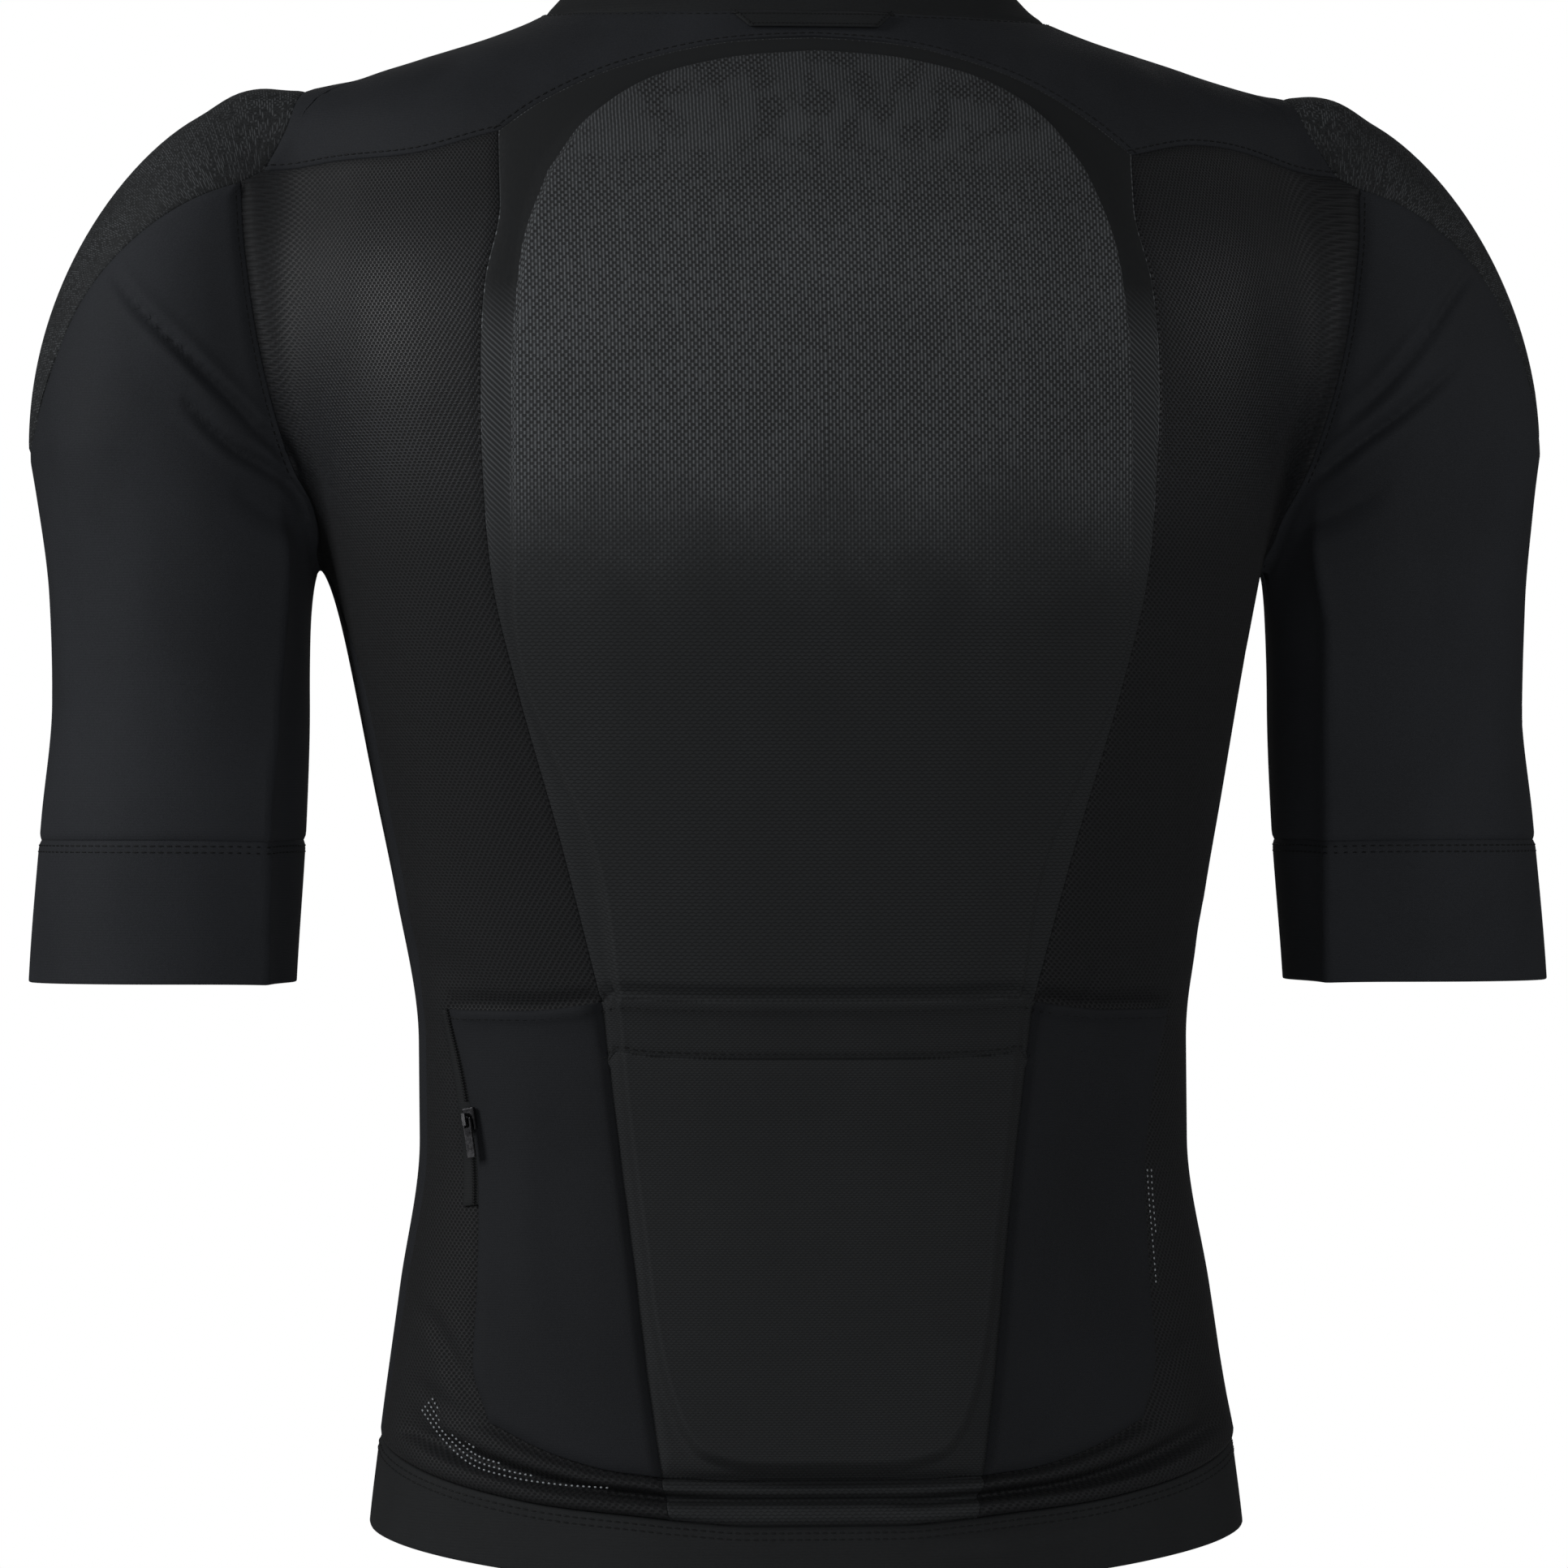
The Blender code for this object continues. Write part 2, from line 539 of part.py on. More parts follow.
def centre_back(left, right):
    """The blocks of the centre back panel: a frame round the protector, the slope up its edge, its raised
    face, and the folds between the pocket and the hem. Each frame block runs along one edge."""
    outline = [
        mirrored(back_seam, PROTECTOR_TOP, CELLS["arc"] // 2),
        right["protector"],
        mirrored(back_seam, PROTECTOR_BOTTOM, CELLS["arc"] // 2)[::-1],
        left["protector"][::-1],
    ]
    ends = np.cumsum([0] + [len(edge) - 1 for edge in outline])
    loop = inside(join(*outline)[:-1], PROTECTOR_SLOPE)
    loop[:, 3] = PROTECTOR_RAISE * MM
    loop = np.concatenate([loop, loop[:1]])
    raised = [loop[start : end + 1] for start, end in zip(ends, ends[1:])]
    seams = [
        mirrored(yoke_seam, YOKE_ARC, CELLS["arc"] // 2),
        join(right["centre"], right["centre_low"]),
        mirrored(back_seam, POCKET_BOTTOM_BACK, CELLS["arc"] // 2)[::-1],
        join(left["centre"], left["centre_low"])[::-1],
    ]
    frame = [strip(outer, inner, (0, 1)) for outer, inner in zip(seams, outline)]
    slope = [strip(outer, inner, (0, 1)) for outer, inner in zip(outline, raised)]
    face = patch(raised[0], raised[2][::-1], raised[3][::-1], raised[1], fading=3)
    across = np.linspace(-1, 1, face.shape[1])[None, :]
    down = np.linspace(-1, 1, face.shape[0])[:, None]
    face[..., 3] += PROTECTOR_CROWN * MM * (1 - across**2) * (1 - down**6)
    shares, heights = np.array(HEM_FOLDS).T
    folds = strip(seams[2], mirrored(seam, HEM_BACK, CELLS["arc"] // 2)[::-1], shares)
    folds[..., 3] = heights[:, None] * MM
    return frame, slope, face, folds


def centre_pocket(frame, slope, face):
    """The blocks of the centre pocket's band and of the rest of it, over the lower back panel."""
    top = CELLS["armhole"] + CELLS["side"]
    end = top + POCKET_BAND_ROWS
    band, rest = [face[top : end + 1]], [face[end:]]
    for _, right, bottom, left in (frame, slope):
        band += [right[:, top : end + 1], left[:, -end - 1 : -top]]
        rest += [right[:, end:], left[:, :-end], bottom]
    return band, rest


def arm_ring(height, side, cells):
    """The closed line round a sleeve at one height, from under the armpit over the back."""
    (centre_x, centre_y, width, depth), _ = by_height(ARM, np.array(height * MM))
    angles = np.linspace(0, 2 * np.pi, cells + 1) + SLEEVE_START
    x = side * (centre_x - width * np.cos(angles))
    y = centre_y - depth * np.sin(angles)
    ring = settle(np.column_stack([x, y, np.full_like(x, height * MM), np.zeros_like(x)]))
    ring[-1] = ring[0]
    return ring


def add_sleeve(name, side, seams):
    """The sleeve: a part between the cap and the armpit, open at the armhole, and a tube below."""
    cap_line = join(seams["cap_back"], seams["cap_tip"], seams["cap_front"])
    heights = (SLEEVE_TUBE_TOP, CUFF_SEAM, CUFF_EDGE)
    armpit, cuff_top, cuff_edge = (arm_ring(height, side, len(cap_line) - 1) for height in heights)
    armpit[0] = armpit[-1] = seams["armhole_back"][0]
    upper = patch(cap_line, armpit, seams["armhole_back"][::-1], seams["armhole_front"][::-1])
    lower = strip(armpit, cuff_top, np.linspace(0, 1, CELLS["sleeve"] + 1))
    cuff = strip(cuff_top, cuff_edge, np.linspace(0, 1, CELLS["cuff"] + 1))
    shell(f"sleeve_{name}", weld(upper, lower), "smooth_jersey", inset=SLEEVE_INSET)
    shell(f"cuff_{name}", weld(cuff), "trim", thickness=BAND_CLOTH)


def add_shoulder(name, seams):
    """The mesh cap over the top of the arm, and the foam pad under it, thin at its edge."""
    cap = patch(
        seams["armhole_top"][::-1],
        seams["cap_tip"],
        join(seams["jog_back"][::-1], seams["cap_back"]),
        join(seams["jog_front"][::-1], seams["cap_front"][::-1]),
        centre=(SIDES[name] * CAP_CENTRE[0], *CAP_CENTRE[1:]),
    )
    shell(f"shoulder_mesh_{name}", weld(cap), "heather_mesh")
    under = -(CLOTH + PAD_GAP)
    depth = np.full(cap.shape[:2], (under - SHOULDER_PAD) * MM)
    depth[[0, -1]] = depth[:, [0, -1]] = (under - SHOULDER_PAD_EDGE) * MM
    pad = np.concatenate([cap[..., :3], depth[..., None]], axis=-1)
    points, faces = weld(pad)
    inner = points[:, 3].copy()
    points[:, 3] = 0
    shell(f"shoulder_pad_{name}", (points, faces), "foam", lift=under, inset=PAD_INSET, inner=inner)


def add_back(seams):
    """The back panels, the protector behind the middle one and the pockets on them."""
    frame, slope, face, folds = centre_back(seams["left"], seams["right"])
    shell("back_center", weld(*frame, *slope, face, folds), "spacer_knit")
    points, faces = weld(*slope, face)
    under = -(CLOTH + PAD_GAP)
    inner = np.full(len(points), (under - PROTECTOR_EDGE) * MM)
    shell("back_protector", (points, faces), "foam", lift=under, inset=PAD_INSET, inner=inner)
    band, rest = centre_pocket(frame, slope, face)
    shell("pocket_center_band", weld(*band), "smooth_jersey", POCKET_CLOTH, lift=GAP + POCKET_CLOTH)
    shell("pocket_center", weld(*rest), "spacer_knit", POCKET_CLOTH, lift=GAP + POCKET_CLOTH)
    for name, side_seam in seams.items():
        above, under_pocket, beside = back_side(side_seam)
        shell(f"back_side_{name}", weld(above, under_pocket, beside), "side_mesh", inset=PANEL_INSET)
        shell(f"pocket_{name}", weld(under_pocket), "smooth_jersey", POCKET_CLOTH, lift=GAP + POCKET_CLOTH)
        if name == "left":
            add_zip(beside[:2, : ZIP_ROWS + 1], side_seam["pocket_edge"])


def add_yoke_and_collar(left, right):
    cells = CELLS["shoulder"] + CELLS["yoke_seam"] + CELLS["arc"] // 2
    neck_back = mirrored(seam, NECK_BACK, cells)
    outer = join(
        left["armhole_top"],
        left["yoke_back"],
        mirrored(yoke_seam, YOKE_ARC, CELLS["arc"] // 2),
        right["yoke_back"][::-1],
        right["armhole_top"][::-1],
    )
    yoke = patch(outer, neck_back, left["shoulder"][::-1], right["shoulder"][::-1])
    shell("yoke", weld(yoke), "smooth_jersey")
    neck_front = mirrored(seam, NECK_FRONT, CELLS["neck_front"] // 2)
    lower = join(neck_back, neck_front[::-1])
    upper = join(
        mirrored(seam, COLLAR_BACK, cells), mirrored(seam, COLLAR_FRONT, CELLS["neck_front"] // 2)[::-1]
    )
    collar = strip(lower, upper, np.linspace(0, 1, CELLS["collar"] + 1))
    shell("collar", weld(collar), "trim", thickness=COLLAR_CLOTH)
    return neck_front


def add_front(left, right, neck_front):
    top = join(
        left["jog_front"], left["shoulder"][::-1], neck_front, right["shoulder"], right["jog_front"][::-1]
    )
    bottom = mirrored(seam, HEM_FRONT, (len(top) - 1) // 2)
    sides = [join(one["armhole_front"][::-1], one["side"], one["side_low"]) for one in (left, right)]
    shell("front", weld(round_patch(top, bottom, *sides)), "smooth_jersey", inset=PANEL_INSET)
    return bottom


def add_hem(left, right, hem_front):
    back = mirrored(seam, HEM_BACK, CELLS["arc"] // 2)
    edge = mirrored(seam, HEM_EDGE_BACK, CELLS["arc"] // 2)
    front_edge = mirrored(seam, HEM_EDGE_FRONT, (len(hem_front) - 1) // 2)
    upper = join(left["hem_side"], back, right["hem_side"][::-1], hem_front[::-1])
    lower = join(left["hem_edge_side"], edge, right["hem_edge_side"][::-1], front_edge[::-1])
    hem = strip(upper, lower, np.linspace(0, 1, CELLS["hem"] + 1))
    shell("hem_band", weld(hem), "trim", thickness=BAND_CLOTH)


def add_neck_tab():
    """The flat tab on the yoke under the collar seam, its ends slanting in towards its lower edge."""
    rows = []
    for level, half in zip(TAB_LEVELS, (TAB_WIDTH / 2, TAB_WIDTH / 2 - TAB_SLANT)):
        line = [(half * share, level) for share in (-1, -0.5, 0, 0.5, 1)]
        rows.append(back_seam(line, TAB_CELLS))
    shell("neck_tab", weld(strip(rows[0], rows[1], (0, 1))), "trim", TAB_CLOTH, lift=2 * GAP + TAB_CLOTH)


def block(name, low, high, frame, finish=None, bevel=0):
    """A block between two corners in a frame. Without a finish it only shapes another one."""
    shape = bmesh.new()
    bmesh.ops.create_cube(shape, size=1)
    bmesh.ops.scale(shape, vec=(Vector(high) - Vector(low)) * MM, verts=shape.verts)
    bmesh.ops.translate(shape, vec=(Vector(high) + Vector(low)) * MM / 2, verts=shape.verts)
    mesh = bpy.data.meshes.new(name)
    shape.to_mesh(mesh)
    shape.free()
    if finish:
        made = add(name, mesh, finish)
    else:
        made = bpy.data.objects.new(name, mesh)
        bpy.context.collection.objects.link(made)
        made.hide_render, made.display_type = True, "WIRE"
    made.matrix_world = frame
    if bevel:
        rounding = made.modifiers.new("bevel", "BEVEL")
        rounding.width, rounding.segments = bevel * MM, 2
    return made


def combine(target, other, operation):
    step = target.modifiers.new(operation.lower(), "BOOLEAN")
    step.operation, step.solver, step.object = operation, "EXACT", other


def add_zip(tape, edge):
    """The tape, and on it the slider with its bridge and the pull tab that hangs from it. Their frame has
    its origin on the pull's hinge, x along the hinge, y down along the zip and z out of the cloth."""
    shell("zip_tape", weld(tape), "zip_tape", TAPE_CLOTH, lift=GAP + TAPE_CLOTH)
    heights = edge[::-1, 2]
    place = [np.interp(-SLIDER_HEIGHT * MM, heights, edge[::-1, i]) for i in range(3)]
    place = settle(np.array([[*place, 0]]))
    out = Vector(outward(place)[0])
    down = Vector(edge[3, :3] - edge[1, :3])
    down = (down - out * down.dot(out)).normalized()
    across = down.cross(out)
    raised = SLIDER_LIFT + SLIDER_BODY[2] + PULL_PIVOT
    centre = Vector(place[0, :3]) + (out * raised + across * SLIDER_ASIDE) * MM
    frame = Matrix((across, down, out)).transposed().to_4x4()
    frame.translation = centre
    half_width, half_length = SLIDER_BODY[0] / 2, SLIDER_BODY[1] / 2
    body_low = (-half_width, -half_length, -PULL_PIVOT - SLIDER_BODY[2])
    slider = block("zip_slider", body_low, (half_width, half_length, -PULL_PIVOT), frame, "gunmetal", 0.5)
    foot, half_bridge = BRIDGE_SPAN / 2 + BRIDGE_FOOT, BRIDGE_WIDTH / 2
    roof = BRIDGE_GAP - PULL_PIVOT
    low, high = (-half_bridge, -foot, -PULL_PIVOT - 0.5), (half_bridge, foot, roof + BRIDGE_TOP)
    bridge = block("bridge", low, high, frame)
    opening = block(
        "opening", (-5, -BRIDGE_SPAN / 2, -PULL_PIVOT), (5, BRIDGE_SPAN / 2, roof), frame
    )
    combine(bridge, opening, "DIFFERENCE")
    combine(slider, bridge, "UNION")
    half_pull, half_bar = PULL_WIDTH / 2, PULL_BAR / 2
    low = (-half_pull, -half_bar, -PULL_THICKNESS / 2)
    high = (half_pull, PULL_LENGTH - half_bar, PULL_THICKNESS / 2)
    pull = block("zip_pull", low, high, frame, "gunmetal", 0.3)
    eye = block("eye", (-EYE_WIDTH / 2, half_bar, -2), (EYE_WIDTH / 2, half_bar + EYE_LENGTH, 2), frame)
    combine(pull, eye, "DIFFERENCE")


def main():
    for existing in list(bpy.data.objects):
        bpy.data.objects.remove(existing, do_unlink=True)
    seams = {name: side_seams(side) for name, side in SIDES.items()}
    left, right = seams["left"], seams["right"]
    add_back(seams)
    neck_front = add_yoke_and_collar(left, right)
    hem_front = add_front(left, right, neck_front)
    add_hem(left, right, hem_front)
    for name, side in SIDES.items():
        add_sleeve(name, side, seams[name])
        add_shoulder(name, seams[name])
    add_neck_tab()


main()
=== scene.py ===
"""The looks of the protective t-shirt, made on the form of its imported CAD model.

Metres, +Z up. The wearer faces +Y, so the back looks along -Y and the wearer's left is at -X. The tables
are in millimetres. Each panel is a fine grid of points on one smooth body form, so that panels that meet
at a seam share the seam's line. A point's fourth number is its height above that form."""

import json
import math

import bmesh
import bpy
import numpy as np
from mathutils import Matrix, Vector
from mathutils.kdtree import KDTree

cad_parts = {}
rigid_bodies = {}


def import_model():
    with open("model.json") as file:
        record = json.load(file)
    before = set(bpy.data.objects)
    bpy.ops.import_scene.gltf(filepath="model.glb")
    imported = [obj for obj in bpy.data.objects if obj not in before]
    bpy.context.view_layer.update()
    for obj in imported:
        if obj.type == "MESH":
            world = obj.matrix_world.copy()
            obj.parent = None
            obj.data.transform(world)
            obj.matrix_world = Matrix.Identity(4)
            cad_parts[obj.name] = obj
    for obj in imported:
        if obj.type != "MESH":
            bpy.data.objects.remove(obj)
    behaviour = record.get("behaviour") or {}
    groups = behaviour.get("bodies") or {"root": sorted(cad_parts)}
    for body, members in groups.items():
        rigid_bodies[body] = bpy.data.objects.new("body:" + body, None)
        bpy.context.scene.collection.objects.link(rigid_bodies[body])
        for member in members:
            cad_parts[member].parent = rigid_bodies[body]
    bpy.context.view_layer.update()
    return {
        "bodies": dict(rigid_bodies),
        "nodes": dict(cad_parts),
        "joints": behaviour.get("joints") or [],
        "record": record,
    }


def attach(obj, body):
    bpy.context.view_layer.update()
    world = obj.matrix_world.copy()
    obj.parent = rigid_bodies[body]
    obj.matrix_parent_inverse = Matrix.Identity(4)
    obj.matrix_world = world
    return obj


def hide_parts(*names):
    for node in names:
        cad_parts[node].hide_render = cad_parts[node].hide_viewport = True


MM = 0.001
SIDES = {"left": -1, "right": 1}

# How thick the cloths are, and the gap between a panel and what lies on it.
CLOTH, POCKET_CLOTH, BAND_CLOTH, COLLAR_CLOTH, TAPE_CLOTH, TAB_CLOTH = 1.6, 1.4, 2.0, 1.8, 1.0, 1.2
GAP = 0.3
# How far the protector raises the back, how much higher its middle is, how thick its edge is, and how wide
# the slope up to it is, with the share of that slope that is steep.
PROTECTOR_RAISE, PROTECTOR_CROWN, PROTECTOR_EDGE, PROTECTOR_SLOPE, PROTECTOR_STEEP = 7.0, 1.5, 2.0, 6.0, 0.75
# How thick a shoulder pad is in the middle and at its edge, and over how many cells it thins out.
SHOULDER_PAD, SHOULDER_PAD_EDGE, SHOULDER_PAD_SLOPE = 6.0, 2.0, 7
# How far a pad ends inside its panel, and how far it lies under it.
PAD_INSET, PAD_GAP = 1.0, 1.1

# How many grid cells lie along each stretch of seam.
CELLS = {
    "armhole": 64, "side": 56, "pocket_width": 28, "arc": 96, "yoke_seam": 44, "yoke": 26, "shoulder": 32,
    "jog": 6, "cap": 48, "neck_front": 64, "sleeve_armhole": 110, "sleeve_cap": 66, "sleeve_tip": 36,
    "sleeve": 56, "cuff": 34, "collar": 12, "hem": 14, "frame": 4, "slope": 8, "pocket_row": 10,
    "fold": 22, "tab": 48, "tab_rows": 6, "open_mesh": 100,
}
# Steps that bring a point onto the body form, and the longest of them. Steps that move a loop inwards. Steps
# that round an edge's turns. Points on a curve for each of its rows, and on a crease.
SETTLE_STEPS, SETTLE_LIMIT, INSIDE_STEPS, EASING_STEPS, CURVE_STEPS, CREASE_STEPS = 9, 20, 6, 14, 40, 30
# Points nearer than this are one point.
SAME_POINT = 0.001

# How fast the curves of a panel's edges fade inside it. Where round the arm a sleeve's grid starts, and how
# narrowly its top line rises to the armpit.
SLEEVE_FADING, YOKE_FADING, PROTECTOR_FADING, FRONT_FADING = 1.2, 12, 6, 3
SLEEVE_START, SLEEVE_RISE = 0.186, 8
# The point that the shoulder caps bulge away from.
CAP_CENTRE = (222, 16, -120)
# The axes that the sides of the back and the caps are unrolled round, and how far out their cloth lies from
# them: for the sides as shares of the torso's half width with the depth of the axis, for the caps in mm.
SIDE_AXIS, SIDE_AXIS_DEPTH, SIDE_REACH = 0.587, 15, 0.433
CAP_AXIS_INSIDE, CAP_REACH = 20, 75
# How far round half the neck the yoke's lines from the ends of its seams arrive.
NECK_SHARES = (0, 0.15, 0.42, 1)

# How far a pocket's mouth stands off, over which reach, the bead along its edge and how far down it lies, how
# far its ends are held, and how far above it the cloth behind is drawn in.
MOUTH_LIFT, MOUTH_REACH, MOUTH_BEAD, BEAD_BELOW, MOUTH_ENDS, MOUTH_ABOVE = 3.0, 5.0, 0.8, 1.8, 7.0, 1.8
# The edge down the back of each arm where it turns away. Columns: height, x and y on the left, on the right.
ARM_EDGE = (
    (-400, -209, -14, 207, -13), (-361, -208, -16.5, 206, -14.6), (-302, -207, -22, 205.5, -20),
    (-230, -201, -23, 204, -26), (-190, -199, -24, 198, -24),
)
ARM_EDGE_HEIGHT, ARM_EDGE_INSIDE, ARM_EDGE_OUTSIDE = 8.5, 10.0, 14.0
ARM_EDGE_FROM, ARM_EDGE_FULL = -172, -212

# Where the knit changes, in metres down the unrolled back: the lower end of the ribs, the height above which
# the pinholes come in groups, and the painted highlight on the side mesh, from below to above.
RIB_ZONE_END, GROUPS_FROM = -0.25, -0.105
PAINTED_SHEEN_FROM, PAINTED_SHEEN_TO = -0.215, -0.17
# The painted shade on the frame beside the top of the protector, a flat dark grey: the height where it
# ends, its fading, and its level.
FRAME_SHADE_END, FRAME_SHADE_FADE, FRAME_SHADE_LEVEL = -128, 22, 0.2

# How light each cloth is, with the bright painted highlights of the open mesh.
LEVELS = {
    "centre": 0.062, "pocket_center": 0.055, "side": 0.0115, "cap": 0.021, "sleeve": 0.0194, "cuff": 0.0185,
    "pocket": 0.0113, "yoke": 0.0158, "front": 0.015, "collar": 0.012, "hem": 0.013, "tab": 0.013, "tape": 0.01,
    "thread": 0.006, "open_mesh": 0.24,
}
COOL, NEUTRAL = (0.9, 0.97, 1.12), (0.94, 1.0, 1.06)

# Where the mesh is stretched open, rows of small threads bright with painted highlights. Columns: slot, how far
# each row runs, points.
OPEN_MESH = (
    ("back_side_left", (1, 0.66, 0.5, 0.34), (
        (-145, -54, -526), (-138, -63, -536), (-129, -73, -544.5), (-116, -81, -548.5), (-98, -89, -551),
        (-79, -95, -552),
    )),
    ("back_side_right", (1, 0.55), ((127, -60, -437), (128, -63, -459), (129, -66, -479))),
)
OPEN_MESH_ROW = 2.0
# Rows of threads. Columns: how far apart the threads are, how long and how wide each is.
STITCHES, TAB_STITCHES, COIL, OPEN_THREADS = (3.2, 2.3, 0.55), (1.5, 1.3, 0.5), (1.1, 0.8, 1.6), (2.2, 0.9, 0.75)
# How far from a seam a row of stitches runs, and the pairs of rows along the hem and the cuffs.
BESIDE_SEAM, BELOW_MOUTH, BELOW_BAND_MOUTH, HEM_STITCHES, CUFF_STITCHES = 1.9, 3.2, 3.4, (2.4, 4.8), (2.0, 4.4)
# How high the zip's coil lies over the tape, and how far it ends from the slider's middle.
COIL_HEIGHT, COIL_CLEAR = 0.3, 7
# How high the other threads lie, and those of the open mesh beyond that.
THREAD_LIFT, OPEN_MESH_LIFT = 0.05, 0.1
# A thread's rings, each with how far along it lies and how thick it is, their corners, and how flat they are.
THREAD_RINGS = ((-0.5, 0.25), (-0.36, 0.85), (0.0, 1.0), (0.36, 0.85), (0.5, 0.25))
THREAD_SIDES, THREAD_FLATNESS = 5, 0.7
# The round rim of a wall: its radius as a share of the thickness, the most it can be, and the steps round it,
# each with how far down it lies and how far it is drawn in.
RIM_SHARE, RIM_MOST = 0.45, 0.7
RIM_STEPS = ((0, 1.0), (0.3, 0.3), (1, 0.0))

# The grooves along seams. Columns: depth, width.
PLAIN_GROOVE, MOUTH_GROOVE, BAND_GROOVE, BOTTOM_GROOVE = (0.55, 1.7), (2.8, 1.8), (1.0, 2.2), (3.0, 2.4)
PLAIN_SEAMS = (
    "armhole_front", "armhole_top", "jog_back", "jog_front", "shoulder", "cap_back", "cap_tip", "cap_front",
    "side", "side_low", "hem_side", "yoke_back", "centre",
)
SIDE_GROOVES = {
    **dict.fromkeys(PLAIN_SEAMS, PLAIN_GROOVE),
    "armhole_back": (1.8, 3.0),
    "centre_low": (2.2, 1.7),
    "pocket_edge": (0.7, 2.0),
    "pocket_bottom": (1.4, 1.8),
    "above_pocket": MOUTH_GROOVE,
    "cuff": (0.6, 1.5),
}
# How far a groove reaches. The ridges beside a crease: their share of its depth, their distance and width.
GROOVE_REACH = 6
SHARP_RIDGES, SOFT_RIDGES = (0.28, 3.0, 1.5), (0.35, 2.1, 1.1)

CAMERA_TURN, CAMERA_DISTANCE, CAMERA_HEIGHT, CAMERA_ASIDE, CAMERA_LENS = -5.5, 3.2, -0.2917, 0.00496, 192.35
FLOOR_HEIGHT, FLOOR_RADIUS = -0.9, 0.8
AMBIENT = 0.048
# Columns: name, place, target, width and height, power.
LIGHTS = (
    ("left", (-2.4, -0.7, 0.7), (0, 0, -0.2), (0.8, 1.6), 57),
    ("right", (2.4, -0.5, 0.7), (0, 0, -0.2), (0.8, 1.6), 13),
    ("fill", (0.3, -3.1, 0.0), (0, 0, -0.3), (1.6, 1.6), 38),
    ("front", (0.3, 2.6, 0.8), (0, 0, -0.3), (2.0, 2.0), 5),
)

# The torso by height: half its width, how far back and front it reaches, where it is widest, squareness.
# Columns: height, half_width, back, front, widest_at, squareness.
TORSO = (
    (40, 62, 46, 46, 0, 2.0), (22, 76, 52, 50, 0, 2.0), (8, 87, 57, 54, 0, 2.0), (0, 96, 61, 58, 0, 2.0),
    (-8, 115, 66, 62, 0, 2.0), (-17, 143, 72, 66, 0, 2.0), (-28, 173, 78, 71, 0, 2.0),
    (-42, 188, 86, 77, 0, 2.05), (-62, 190, 95, 84, 0, 2.1), (-100, 196, 108, 97, 0, 2.2),
    (-150, 192, 116, 108, 0, 2.3), (-200, 180, 116, 112, -2, 2.35), (-240, 171.5, 112, 111, -4, 2.4),
    (-296, 161, 102, 106, -8, 2.4), (-333, 154, 95, 102, -12, 2.35), (-389, 146, 89, 97, -16, 2.3),
    (-426, 146, 89, 96, -16, 2.3), (-482, 154, 95, 97, -16, 2.3), (-538, 162, 102, 98, -14, 2.3),
    (-580, 167, 106, 100, -12, 2.3), (-640, 169, 108, 100, -12, 2.3),
)
# The arm by height, from where the shoulder rounds over down to the cuff.
# Columns: height, centre_x, centre_y, half_width, half_depth.
ARM = (
    (-165, 236, 16, 55, 56), (-185, 235.5, 16, 52.5, 55), (-221, 234, 17, 50, 54), (-259, 234, 18, 49, 52),
    (-305, 237, 20, 50.5, 52), (-361, 241.5, 22, 51, 51), (-420, 244.5, 24, 51, 51),
)
# The top of the arm, and how far in it leans there.
SHOULDER_TOP, SHOULDER_INWARD = -33, 28
# How widely arm and torso melt into each other, low and high, and the heights between which that changes.
BLEND_ARMPIT, BLEND_SHOULDER = 13, 32
BLEND_HEIGHTS = -215, -125
# How much the form leans to one side as it rises, and the height where it is in the middle.
LEAN, LEAN_HEIGHT = 0.0093, -292

# Seams. Columns: x, y, z, on the wearer's right; the left ones are mirrored.
ARMPIT = (180.6, 8, -209)
BACK_CORNER = (213, -27, -65)
YOKE_CORNER = (204, -26, -60)
FRONT_CORNER = (212, 47, -69)
FRONT_YOKE_CORNER = (203, 44, -65)
NECK_POINT = (87, 38, -14)
ARMHOLE_BACK = (ARMPIT, (186, -14, -192), (199, -27, -158), (208, -30, -123), (212, -30, -90), BACK_CORNER)
ARMHOLE_FRONT = (ARMPIT, (181.5, 36, -191), (183, 49, -173), (194, 66, -128), (203, 65, -92), FRONT_CORNER)
ARMHOLE_TOP = (FRONT_YOKE_CORNER, (196, 34, -51), (190, 18, -35), (187.5, 3, -28), (191, -14, -37), YOKE_CORNER)
SHOULDER_SEAM = (NECK_POINT, (125, 48, -28), (165, 54, -42), FRONT_YOKE_CORNER)
NECK_BACK = (NECK_POINT, (95, 14, -3), (94, -14, 0), (80, -36, -1), (45, -55, -2), (0, -62, -2))
NECK_FRONT = (NECK_POINT, (70, 62, -34), (38, 78, -54), (0, 84, -62))
COLLAR_POINT = (70, 30, 2)
COLLAR_BACK = (COLLAR_POINT, (77, 10, 16), (76, -10, 20), (64, -30, 19), (36, -47, 18), (0, -53, 17))
COLLAR_FRONT = (COLLAR_POINT, (56, 52, -14), (30, 68, -33), (0, 75, -40))
CAP_BACK_END, CAP_FRONT_END = (284, -6, -140), (284, 40, -140)
CAP_BACK = (BACK_CORNER, (226, -30, -69), (249, -26, -83), (271, -16, -108), CAP_BACK_END)
CAP_TIP = (CAP_BACK_END, (288, 6, -160), (289, 17, -166), (288, 28, -160), CAP_FRONT_END)
CAP_FRONT = (CAP_FRONT_END, (271, 52, -108), (249, 62, -83), (226, 64, -69), FRONT_CORNER)
POCKET_LEVEL = (149, -30, -378)
SIDE_HEM = (161, -20, -539)
SIDE_SEAM = (ARMPIT, (175, -14, -226), (168, -27, -250), (160, -30, -290), (152, -31, -335), POCKET_LEVEL)
SIDE_SEAM_LOW = (POCKET_LEVEL, (147, -30, -420), (153, -29, -480), SIDE_HEM)
HEM_SIDE = (SIDE_HEM, (147, -60, -549), (110, -84, -558), (57, -101, -564))
HEM_BACK = ((57, -101, -564), (28, -105, -566), (0, -106, -566))
